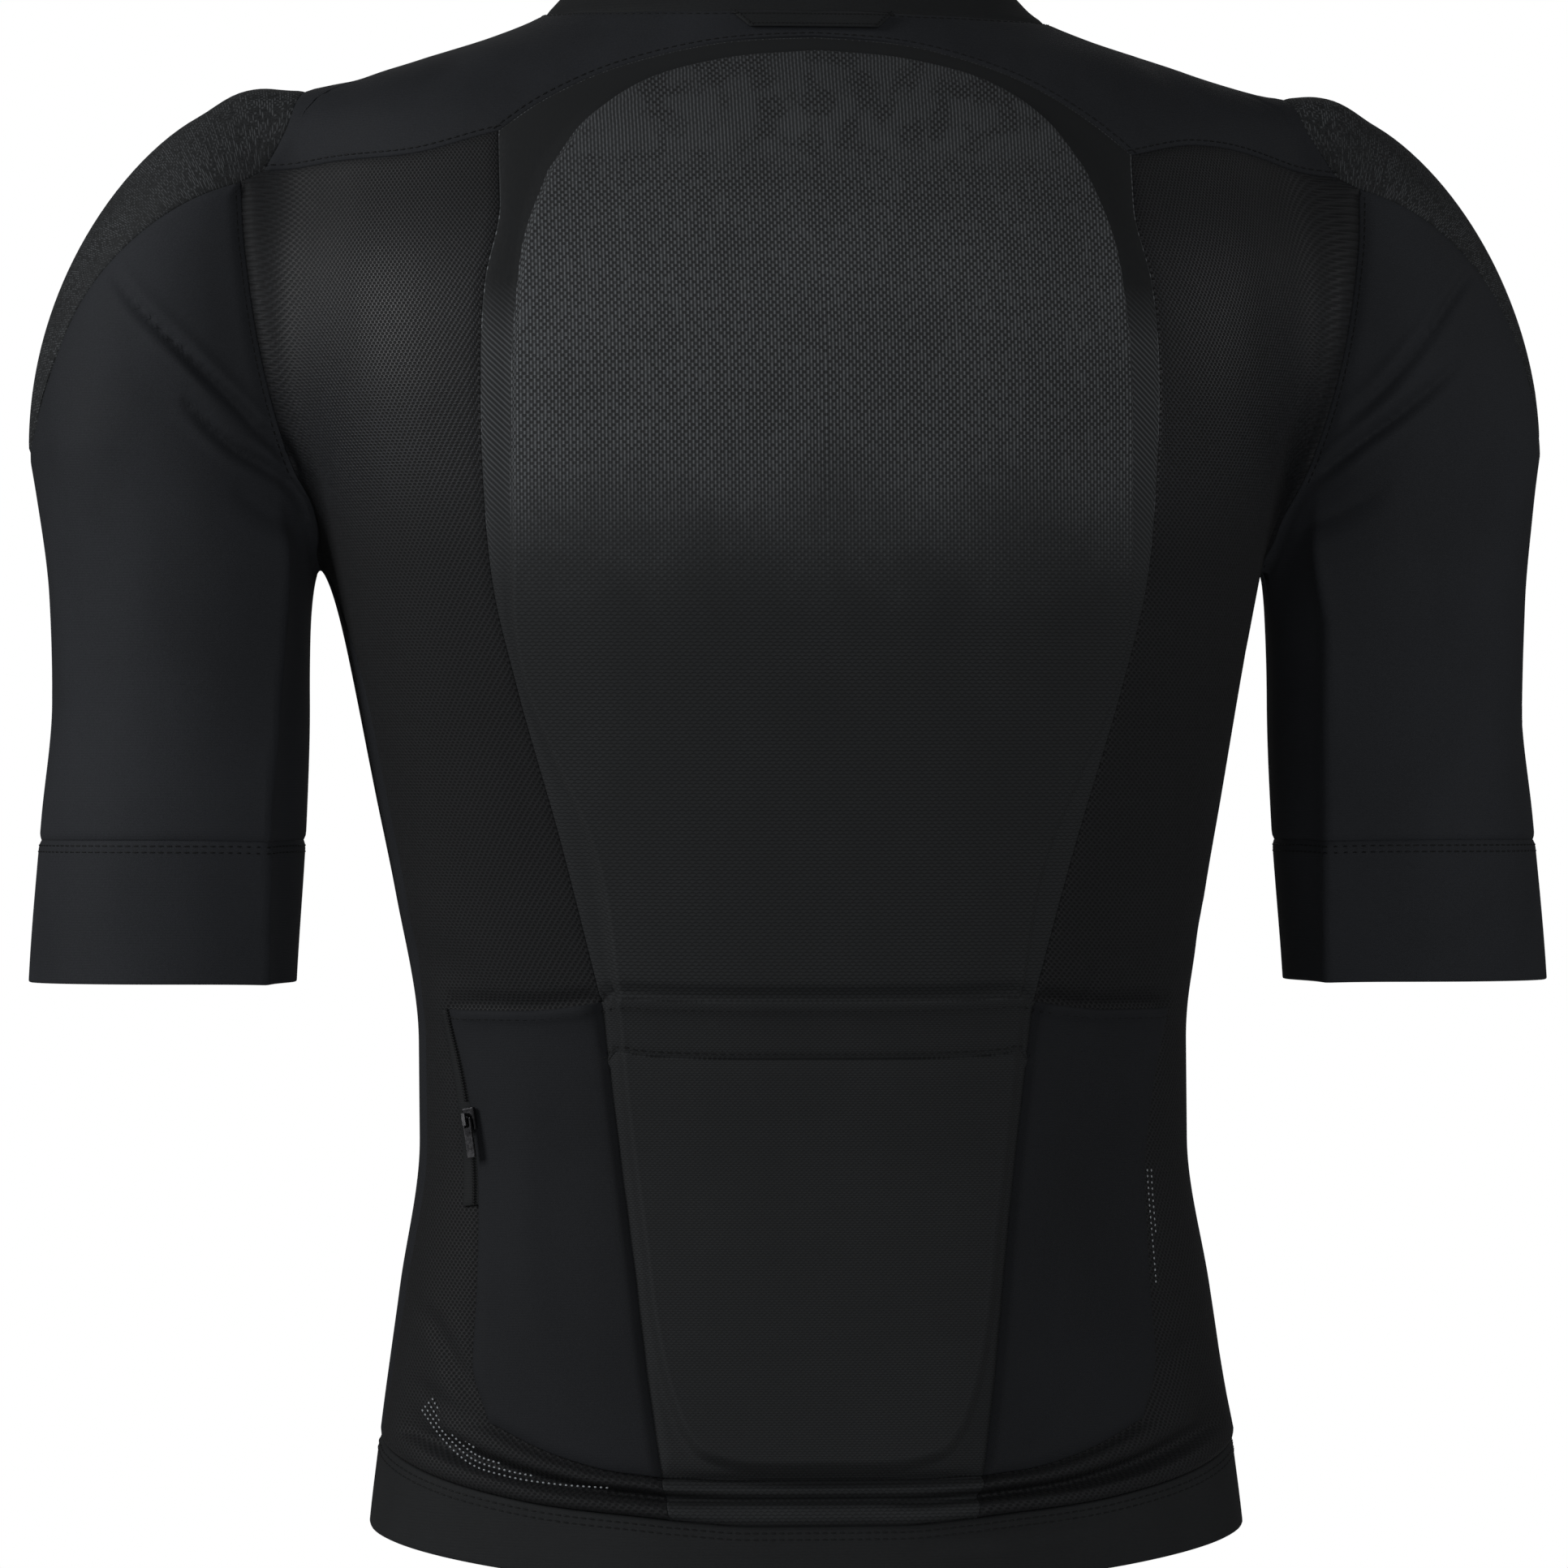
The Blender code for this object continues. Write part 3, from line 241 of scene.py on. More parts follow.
HEM_FRONT = (SIDE_HEM, (160, 25, -537), (128, 66, -536), (70, 92, -536), (0, 98, -536))
HEM_EDGE_SIDE = ((166, -18, -572), (152, -58, -577), (114, -86, -583), (58, -104, -588))
HEM_EDGE_BACK = ((58, -104, -588), (29, -108, -590), (0, -109, -591))
HEM_EDGE_FRONT = ((166, -18, -572), (164, 26, -569), (132, 66, -567), (72, 93, -566), (0, 100, -566))

# The seam that bounds the centre back panel. The yoke meets it a little lower on the wearer's right.
# Columns: x, y, z_left, z_right.
YOKE_BACK = (
    (204, -26, -60, -60), (180, -32, -59, -56), (147, -60, -56, -50), (119, -72, -48, -56),
)
YOKE_ARC = (
    (119, -72, -48, -56), (98, -70, -34, -41), (75, -68, -24, -27), (42, -68, -15.5, -16), (0, -69, -12, -12),
)
# Columns: x, z.
CENTRE_SEAM = (
    (119, -75), (125, -105), (127, -140), (126, -180), (122, -220), (113, -257), (97, -312), (81, -373),
)
CENTRE_SEAM_LOW = ((81, -373), (76, -415), (70, -465), (64.5, -515), (60, -548))
POCKET_EDGE = ((135, -376), (128, -410), (125, -442), (126, -480), (127.5, -508), (122, -529))
POCKET_BOTTOM = ((122, -529), (104, -538), (82, -545), (60, -548))
POCKET_TOP_SIDE = ((135, -376), (108, -376), (81, -373))
POCKET_BOTTOM_BACK = ((60, -548), (30, -549), (0, -549))
PROTECTOR_TOP = ((101, -64), (87, -45), (66, -31), (35, -21.5), (0, -18))
PROTECTOR_SIDE = (
    (101, -64), (110, -88), (114, -115), (116, -160), (116, -222), (111, -255), (99, -285), (86, -317),
    (77, -371),
)
PROTECTOR_SIDE_LOW = (
    (77, -371), (75, -397), (72.5, -421), (70.5, -438), (67.7, -462), (63.8, -495), (59.5, -516), (54.5, -531),
)
PROTECTOR_BOTTOM = ((54.5, -531), (47, -541), (35, -545.5), (16, -547), (0, -547))

# How far along its strip each fold above the hem lies, and its height: beside the middle, where the fold
# is deep, and in the middle, where it opens into a flat lens.
# Columns: share, height beside, height in the middle.
HEM_FOLDS = (
    (0.0, -1.6, -1.6), (0.1, 1.4, 1.2), (0.2, 2.8, 2.4), (0.3, 2.2, 1.4), (0.38, -2.5, -2.4), (0.46, -5.0, -3.8),
    (0.54, -4.6, -0.8), (0.62, -0.8, 1.2), (0.72, 2.2, 1.8), (0.86, 2.2, 1.6), (1.0, -0.8, -0.8),
)
# The middle of the lens, half its width, and how far it fades.
HEM_LENS = (-7, 24, 26)
# Where the lines across the pockets lie, as shares of a pocket's height. The first is under its band.
POCKET_ROWS = (0, 0.125, 0.3, 0.475, 0.65, 0.825, 1)
POCKET_BAND_ROWS = 1
# How many of those rows the zip runs down, and the share of the strip beside the pocket that its tape takes.
ZIP_ROWS, TAPE_SHARE = 3, 0.2

SLEEVE_TUBE_TOP, CUFF_SEAM, CUFF_EDGE = -240, -313, -367

TAB_WIDTH, TAB_SLANT = 60, 6
TAB_LEVELS = (-3.5, -9)
# The slider's middle is this far below the neck.
SLIDER_HEIGHT = 417

# Creases: a negative depth is a trough between two low ridges. A sharp one comes to an edge.
# Columns: depth, width, points.
SHARP_CREASES = (
    # Under the arms, behind.
    (-3.6, 1.5, ((-262, -24, -98), (-253, -29, -110), (-232, -35, -133), (-213, -31, -153), (-196, -20, -172))),
    (-4.0, 1.6, ((-236, -36, -147), (-231, -36, -152), (-219, -33, -164), (-198, -19, -177), (-187, -8, -187))),
    (-3.0, 1.8, ((-207, -28, -156), (-200, -22, -164), (-194, -14, -172))),
    (-1.4, 2.6, ((-217, -33, -180), (-206, -25, -190), (-193, -12, -197))),
    (-3.2, 1.5, ((256, -22, -96), (251, -26, -101), (239, -34, -119), (217, -33, -146), (208, -28, -154))),
    (-3.9, 1.6, ((250, -31, -130), (244, -34, -136), (227, -35, -151), (212, -31, -163), (196, -18, -178))),
    (-1.4, 2.6, ((224, -33, -178), (208, -26, -188), (195, -13, -196))),
    # Under the arms, before.
    (-2.4, 2.3, ((246, 66, -128), (226, 70, -152), (206, 60, -174), (192, 42, -188))),
    (-2.9, 2.1, ((-252, 62, -120), (-232, 70, -146), (-210, 62, -168), (-194, 44, -184))),
    (-1.5, 2.8, ((226, 66, -190), (208, 54, -196), (194, 34, -200))),
    (-1.7, 2.6, ((-222, 66, -186), (-206, 54, -194), (-193, 34, -199))),
    # The waist.
    (-1.1, 2.4, ((105, -74, -358), (104, -74, -364), (101, -75, -375), (98, -76, -386))),
    # Round the left pocket and the hem.
    (-1.9, 2.2, ((-150, -40, -488), (-143, -51, -492), (-134, -63, -508), (-126, -73, -525))),
    (-1.5, 2.0, ((-150, -44, -515), (-143, -57, -520), (-126, -73, -530))),
    (-1.2, 2.2, ((126, -74, -514), (134, -66, -508), (146, -54, -498))),
    # The pockets.
    (-1.2, 2.6, ((102, -85, -508), (97, -87, -514), (83, -93, -528), (67, -97, -540))),
    (-0.9, 3.0, ((104, -72, -408), (96, -76, -424), (85, -80, -438))),
    (0.9, 3.0, ((96, -78, -414), (93, -81, -440), (90, -86, -480), (84, -91, -512))),
    (-0.9, 3.2, ((92, -79, -410), (97, -77, -416), (101, -76, -421))),
)
SOFT_CREASES = (
    # Under the arms, behind.
    (1.0, 6.0, ((-250, -32, -124), (-230, -36, -144), (-208, -28, -163))),
    (0.9, 6.0, ((246, -33, -118), (226, -36, -140), (206, -27, -160))),
    (1.1, 12.0, ((-262, -20, -150), (-268, -6, -205), (-266, 4, -262))),
    (0.9, 12.0, ((266, -12, -148), (272, 0, -208), (270, 8, -270))),
    # Under the arms, before.
    (-1.6, 6.0, ((176, 70, -206), (150, 92, -226), (118, 104, -238))),
    (-1.3, 6.5, ((-178, 66, -200), (-154, 90, -214), (-126, 102, -236))),
    # The chest and belly.
    (-0.9, 11.0, ((-96, 106, -300), (-40, 110, -318), (22, 110, -312), (70, 108, -326))),
    (0.8, 12.0, ((-120, 92, -380), (-60, 100, -396), (0, 100, -388), (88, 96, -402))),
    (-0.8, 10.0, ((-60, 100, -470), (10, 100, -482), (84, 92, -474))),
    (1.0, 8.0, ((-130, 76, -520), (-80, 92, -508), (-30, 98, -514))),
    (0.9, 7.0, ((60, 96, -516), (104, 84, -508), (140, 62, -520))),
    # The waist.
    (-0.9, 8.0, ((-150, -22, -352), (-132, -52, -362), (-118, -66, -376))),
    (-0.8, 8.0, ((152, -20, -340), (136, -48, -352), (112, -70, -366))),
    # Round the left pocket and the hem.
    (0.9, 5.0, ((-128, -70, -548), (-104, -86, -556), (-78, -96, -559))),
    (-1.0, 3.0, ((34, -106, -572), (70, -100, -570), (104, -86, -563), (128, -72, -556))),
    # The pockets.
    (0.7, 7.0, ((-110, -76, -400), (-112, -78, -450), (-104, -86, -500))),
    # The yoke.
    (-0.7, 7.0, ((150, -52, -42), (136, -40, -24), (128, -14, -12))),
    (-0.7, 7.0, ((-150, -52, -42), (-136, -40, -24), (-128, -14, -12))),
    (-0.6, 6.0, ((-176, -34, -50), (-168, -20, -34), (-166, 6, -28))),
)


def step_up(value, low, high):
    """0 at low and before it, 1 at high and beyond it, and smooth between them."""
    share = np.clip((value - low) / (high - low), 0, 1)
    return share * share * (3 - 2 * share)


def interpolate(knots, values, at):
    """Values and their slopes on a smooth curve through the knots that never overshoots between them."""
    width = np.diff(knots)[:, None]
    rise = np.diff(values, axis=0) / width
    inner = (rise[:-1] * width[1:] + rise[1:] * width[:-1]) / (width[:-1] + width[1:])
    slope = np.concatenate([rise[:1], inner, rise[-1:]])
    limit = 3 * np.minimum(abs(rise[:-1]), abs(rise[1:]))
    turns = rise[:-1] * rise[1:] <= 0
    slope[1:-1] = np.where(turns, 0, np.clip(slope[1:-1], -limit, limit))
    at = np.clip(at, knots[0], knots[-1])
    cell = np.clip(np.searchsorted(knots, at) - 1, 0, len(width) - 1)
    h = width[cell]
    t = (at - knots[cell])[..., None] / h
    a, b, sa, sb = values[cell], values[cell + 1], slope[cell] * h, slope[cell + 1] * h
    value = (1 + 2 * t) * (1 - t) ** 2 * a + t * (1 - t) ** 2 * sa + t * t * (3 - 2 * t) * b + t * t * (t - 1) * sb
    change = (6 * t * t - 6 * t) * (a - b) + (1 - 4 * t + 3 * t * t) * sa + (3 * t * t - 2 * t) * sb
    return value, change / h


def by_height(table, z):
    """A table's columns at these heights, and their slopes, as two lists of arrays in metres."""
    rows = np.array(sorted(table), float) * MM
    value, slope = interpolate(rows[:, 0], rows[:, 1:], z)
    return np.moveaxis(value, -1, 0), np.moveaxis(slope, -1, 0)


def torso(x, y, z):
    """About how far a point lies outside the torso."""
    (width, back, front, middle, square), slopes = by_height(TORSO, z)
    width_slope, back_slope, front_slope, middle_slope, _ = slopes
    square = square / MM
    behind = y < middle
    depth = np.where(behind, back + middle, front - middle)
    depth_slope = np.where(behind, back_slope + middle_slope, front_slope - middle_slope)
    across, along = abs(x) / width + 1e-9, abs(y - middle) / depth + 1e-9
    across_power, along_power = across**square, along**square
    reach = (across_power + along_power) ** (1 / square)
    scale = reach ** (1 - square)
    by_x = scale * across_power / across / width
    by_y = scale * along_power / along / depth * np.sign(y - middle)
    by_z = -scale * (across_power * width_slope / width + along_power * depth_slope / depth) - by_y * middle_slope
    return (reach - 1) / np.sqrt(by_x**2 + by_y**2 + by_z**2)


def arm(x, y, z):
    """About how far a point lies outside the nearer arm, whose top rounds over into the shoulder."""
    (centre_x, centre_y, width, depth), _ = by_height(ARM, z)
    base, rise = ARM[0][0] * MM, (SHOULDER_TOP - ARM[0][0]) * MM
    up = np.maximum((z - base) / rise, 0)
    centre_x = centre_x - SHOULDER_INWARD * MM * up**2
    centre_y = centre_y * (1 - 0.8 * np.minimum(up, 1) ** 2)
    off_x, off_y = (abs(x) - centre_x) / width, (y - centre_y) / depth
    by_x, by_y = 2 * off_x / width, 2 * off_y / depth
    by_z = 2 * up / rise * (1 + by_x * SHOULDER_INWARD * MM)
    return (off_x**2 + off_y**2 + up**2 - 1) / (np.sqrt(by_x**2 + by_y**2 + by_z**2) + 2)


def body(points):
    """Negative inside the worn form, zero on the outer face of the cloth, positive outside."""
    x, y, z = np.moveaxis(points, -1, 0)
    x = x + LEAN * (z - LEAN_HEIGHT * MM)
    blend = (BLEND_ARMPIT + (BLEND_SHOULDER - BLEND_ARMPIT) * step_up(z / MM, *BLEND_HEIGHTS)) * MM
    a, b = torso(x, y, z), arm(x, y, z)
    share = np.clip(0.5 + 0.5 * (b - a) / blend, 0, 1)
    return b + (a - b) * share - blend * share * (1 - share)


def slopes_at(points):
    """The body form's value, and how fast it grows along x, y and z."""
    value = body(points)
    step = 0.1 * MM
    return value, np.stack([body(points + step * axis) - value for axis in np.eye(3)], axis=-1) / step


def outward(points):
    _, slope = slopes_at(points[..., :3])
    return slope / np.linalg.norm(slope, axis=-1, keepdims=True)


def settle(points, along=None):
    """Moves points onto the body form, the short way or along one direction. The fourth column stays."""
    place = points[..., :3].copy()
    for _ in range(SETTLE_STEPS):
        value, slope = slopes_at(place)
        way = slope if along is None else np.broadcast_to(along, slope.shape)
        step = value / (slope * way).sum(axis=-1)
        place -= np.clip(step[..., None] * way, -SETTLE_LIMIT * MM, SETTLE_LIMIT * MM)
    return np.concatenate([place, points[..., 3:]], axis=-1)


# The shares of a pocket's height at which the lines of its grid lie.
POCKET_LINES = tuple(
    np.interp(
        np.linspace(0, 1, (len(POCKET_ROWS) - 1) * CELLS["pocket_row"] + 1),
        np.linspace(0, 1, len(POCKET_ROWS)),
        POCKET_ROWS,
    )
)


def lengths_along(line):
    """How far along a line each of its points lies."""
    return np.append(0, np.cumsum(np.linalg.norm(np.diff(line[:, :3], axis=0), axis=1)))


def curve(rows, cells, along=None):
    """Points on the body form along a smooth curve through the rows, with height 0. The cells are a
    number of equal steps, or a tuple of shares of the length."""
    rows = np.array(rows, float) * MM
    knots = lengths_along(rows)
    fine, _ = interpolate(knots, rows, np.linspace(0, knots[-1], CURVE_STEPS * len(rows)))
    length = lengths_along(fine)
    shares = np.linspace(0, 1, cells + 1) if isinstance(cells, int) else np.array(cells)
    points = np.stack([np.interp(shares * length[-1], length, column) for column in fine.T], axis=-1)
    return settle(np.column_stack([points, np.zeros(len(points))]), along)


def seam(rows, cells, side=1):
    """A seam given for the wearer's right side, or its mirror image."""
    return curve([(side * x, y, z) for x, y, z in rows], cells)


def back_seam(rows, cells, side=1):
    """A seam given as it is seen from straight behind."""
    return curve([(side * x, -90, z) for x, z in rows], cells, along=(0, 1, 0))


def yoke_seam(rows, cells, side=1):
    """A seam whose height differs on the two sides."""
    level = 2 if side == SIDES["left"] else 3
    return curve([(side * row[0], row[1], row[level]) for row in rows], cells)


def join(*curves):
    """Curves end to end, as one."""
    return np.concatenate([curves[0]] + [part[1:] for part in curves[1:]])


def mirrored(make, rows, cells):
    """A curve whose rows end on the middle, run from the left to the right."""
    return join(make(rows, cells, SIDES["left"]), make(rows, cells, SIDES["right"])[::-1])


def between(top, bottom, left, right, fading=1, side_fading=1):
    """A grid of points that fills four edges smoothly. Its own edges are theirs. The more the shapes of
    the top and bottom or of the sides fade, the straighter the lines far from them."""
    across = np.linspace(0, 1, len(top))[None, :, None]
    down = np.linspace(0, 1, len(left))[:, None, None]
    upper, lower = ((1 - across) * edge[0] + across * edge[-1] for edge in (top, bottom))
    grid = (1 - down) * upper + down * lower
    grid = grid + (1 - down) ** fading * (top[None] - upper) + down**fading * (bottom[None] - lower)
    for edge, share in ((left, 1 - across), (right, across)):
        grid = grid + share**side_fading * (edge[:, None] - (1 - down) * edge[0] - down * edge[-1])
    return grid


def eased(edge):
    """The same line with its sharp turns rounded."""
    edge = edge.copy()
    for _ in range(EASING_STEPS):
        edge[1:-1] = (edge[:-2] + 2 * edge[1:-1] + edge[2:]) / 4
    return edge


def framed(grid, top, bottom, left, right):
    grid[0], grid[-1], grid[:, 0], grid[:, -1] = top, bottom, left, right
    return grid


def patch(*edges, fading=1, side_fading=1, centre=None):
    """The grid between four edges, on the body form: the short way there, or straight away from a centre."""
    grid = between(*edges[:2], *map(eased, edges[2:]), fading, side_fading)
    if centre is None:
        return framed(settle(grid), *edges)
    way = grid[..., :3] - np.array(centre) * MM
    return framed(settle(grid, way / np.linalg.norm(way, axis=-1, keepdims=True)), *edges)


def round_patch(*edges):
    """The same for a panel that wraps round the front: the grid is worked out unrolled."""
    unrolled = []
    for x, y, z, height in (edge.T for edge in (*edges[:2], *map(eased, edges[2:]))):
        unrolled.append(np.column_stack([np.arctan2(x, y), np.hypot(x, y), z, height]))
    angle, radius, z, height = np.moveaxis(between(*unrolled, side_fading=FRONT_FADING), -1, 0)
    grid = np.stack([radius * np.sin(angle), radius * np.cos(angle), z, height], axis=-1)
    return framed(settle(grid), *edges)


def strip(first, last, cells):
    """The grid of lines between two curves, this many cells apart."""
    shares = np.linspace(0, 1, cells + 1)[:, None, None]
    grid = settle((1 - shares) * first[None] + shares * last[None])
    grid[0], grid[-1] = first, last
    return grid


def weld(*blocks):
    """One mesh of the blocks, joined where their points are the same: its points and its quads."""
    points = np.concatenate([block.reshape(-1, 4) for block in blocks])
    faces, start = [], 0
    for block in blocks:
        rows, columns = block.shape[:2]
        number = start + np.arange(rows * columns).reshape(rows, columns)
        corners = number[:-1, :-1], number[:-1, 1:], number[1:, 1:], number[1:, :-1]
        faces.append(np.stack([corner.ravel() for corner in corners], axis=-1))
        start += rows * columns
    keys = np.round(points[:, :3] / (SAME_POINT * MM)).astype(np.int64)
    _, first, index = np.unique(keys, axis=0, return_index=True, return_inverse=True)
    return points[first], index.reshape(-1)[np.concatenate(faces)]


def turned_out(place, faces, normals):
    """The quads, each with its corners in the order that makes it face outwards."""
    a, b, c, d = (place[faces[:, i]] for i in range(4))
    facing = (np.cross(c - a, d - b) * normals[faces].sum(axis=1)).sum(axis=1)
    return np.where(facing[:, None] < 0, faces[:, ::-1], faces)


def free_edges(faces):
    """The edges that belong to one quad, in that quad's order."""
    edges = np.concatenate([faces[:, [i, (i + 1) % 4]] for i in range(4)])
    count = faces.max() + 1
    return edges[~np.isin(edges[:, 1] * count + edges[:, 0], edges[:, 0] * count + edges[:, 1])]


def inward_ways(place, edges, normals):
    """For each point on a free edge, the way into the panel, as long as a mitred corner needs."""
    ways = np.cross(normals[edges[:, 0]] + normals[edges[:, 1]], place[edges[:, 1]] - place[edges[:, 0]])
    ways /= np.linalg.norm(ways, axis=1, keepdims=True)
    total = np.zeros_like(place)
    np.add.at(total, edges[:, 0], ways)
    np.add.at(total, edges[:, 1], ways)
    return total / np.maximum((total**2).sum(axis=1, keepdims=True) / 2, 0.4)


def spread(line, spacing):
    """Points on a line at about this distance from one another."""
    length = lengths_along(line)
    at = np.linspace(0, length[-1], max(int(round(length[-1] / spacing)), 1) + 1)
    return np.stack([np.interp(at, length, column) for column in line.T], axis=-1)


class Relief:
    """The creases and seam grooves, as a height for any point on the shirt."""

    def __init__(self, grooves):
        """Each groove is a line on the body form, its depth and its width."""
        rows = []
        for line, depth, width in grooves:
            points = spread(line, MM)[:, :3]
            rows.append(np.column_stack([points, np.broadcast_to((depth, width), (len(points), 2))]))
        self.grooves = np.concatenate(rows)
        self.tree = KDTree(len(self.grooves))
        for number, row in enumerate(self.grooves):
            self.tree.insert(row[:3], number)
        self.tree.balance()
        self.creases = []
        for table, form in ((SHARP_CREASES, (1, *SHARP_RIDGES)), (SOFT_CREASES, (2, *SOFT_RIDGES))):
            for depth, width, corners in table:
                line = spread(smoothed(np.array(corners, float) * MM), 2 * MM)
                line = settle(np.column_stack([line, np.zeros(len(line))]))[:, :3]
                self.creases.append((depth * MM, width * MM, form, line))

    def at(self, place):
        height = np.zeros(len(place))
        for number, point in enumerate(place):
            _, found, distance = self.tree.find(point)
            if distance < GROOVE_REACH * MM:
                depth, width = self.grooves[found, 3:]
                height[number] = -depth * MM * math.exp(-((distance / (width * MM)) ** 2))
        for depth, width, (power, share, ridge, ridge_width), line in self.creases:
            low, high = line.min(axis=0) - 5 * width, line.max(axis=0) + 5 * width
            near = np.flatnonzero(((place > low) & (place < high)).all(axis=1))
            if not len(near):
                continue
            gaps = np.linalg.norm(place[near, None] - line[None], axis=2)
            gap = gaps.min(axis=1) / width
            along = gaps.argmin(axis=1) / (len(line) - 1)
            shape = np.exp(-(gap**power)) - share * np.exp(-(((gap - ridge) / ridge_width) ** 2))
            height[near] += depth * (4 * along * (1 - along)) ** 0.7 * shape
        return height


def smoothed(line):
    """A smooth curve through a few points."""
    knots = lengths_along(line)
    return interpolate(knots, line, np.linspace(0, knots[-1], CREASE_STEPS))[0]


# Heights at which the torso is measured to unroll it.
TORSO_LEVELS = np.linspace(-640, 40, 69) * MM


def unrolled(place):
    """Where a point of the torso would lie if it were laid flat: how far round from the middle of the
    back, and how far down the middle of the back."""
    (width, back, front, middle, square), _ = by_height(TORSO, TORSO_LEVELS)
    turn = np.linspace(-np.pi, np.pi, 361)[None, :]
    power = 2 / (square[:, None] / MM)
    depth = np.where(np.cos(turn) > 0, (back + middle)[:, None], (front - middle)[:, None])
    x = width[:, None] * np.sign(np.sin(turn)) * abs(np.sin(turn)) ** power
    y = middle[:, None] - depth * np.sign(np.cos(turn)) * abs(np.cos(turn)) ** power
    length = np.cumsum(np.hypot(np.diff(x, axis=1, prepend=x[:, :1]), np.diff(y, axis=1, prepend=y[:, :1])), axis=1)
    length -= length[:, 180:181]
    px, py, pz = place.T
    px = px + LEAN * (pz - LEAN_HEIGHT * MM)
    (width, back, front, middle, square), _ = by_height(TORSO, pz)
    half = square / MM / 2
    depth = np.where(py < middle, back + middle, front - middle)
    angle = np.arctan2(
        np.sign(px) * abs(px / width) ** half, -np.sign(py - middle) * (abs(py - middle) / depth) ** half
    )
    row = np.clip((pz - TORSO_LEVELS[0]) / (TORSO_LEVELS[1] - TORSO_LEVELS[0]), 0, len(TORSO_LEVELS) - 1.001)
    column = np.clip((angle + np.pi) / (turn[0, 1] - turn[0, 0]), 0, 359.999)
    i, j = row.astype(int), column.astype(int)
    s, t = row - i, column - j
    lower, upper = ((1 - t) * length[k, j] + t * length[k, j + 1] for k in (i, i + 1))
    return np.column_stack([(1 - s) * lower + s * upper, down_back(pz)])


def down_back(z):
    """How far down the middle of the back a height lies."""
    down = np.append(0, np.cumsum(np.hypot(np.diff(TORSO_LEVELS), np.diff(by_height(TORSO, TORSO_LEVELS)[0][1]))))
    return np.interp(z, TORSO_LEVELS, down - down[-1])


def round_side(place):
    """The same for the panels beside the back, round an axis within each half of the torso."""
    width = by_height(TORSO, place[:, 2])[0][0]
    angle = np.arctan2(abs(place[:, 0]) - SIDE_AXIS * width, -(place[:, 1] + SIDE_AXIS_DEPTH * MM))
    return np.column_stack([np.sign(place[:, 0]) * SIDE_REACH * width * angle, down_back(place[:, 2])])


def rolled_arm(place):
    """The same for a sleeve."""
    px, py, pz = place.T
    (centre_x, centre_y, width, _), _ = by_height(ARM, pz)
    return np.column_stack([np.arctan2(py - centre_y, -(abs(px) - centre_x)) * width, pz])


def over_shoulder(place):
    """The same for a shoulder cap: from back to front, and down over the arm."""
    x, y, z = place.T / MM
    angle = np.arctan2(abs(x) - (CAP_CENTRE[0] - CAP_AXIS_INSIDE), z - CAP_CENTRE[2])
    return np.column_stack([y * MM, -CAP_REACH * MM * angle])


def add(name, mesh, look, nodes=None):
    mesh.materials.append(look)
    mesh.shade_smooth()
    made = bpy.data.objects.new(name, mesh)
    bpy.context.collection.objects.link(made)
    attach(made, "shirt")
    if nodes is not None:
        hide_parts(*nodes)
    return made


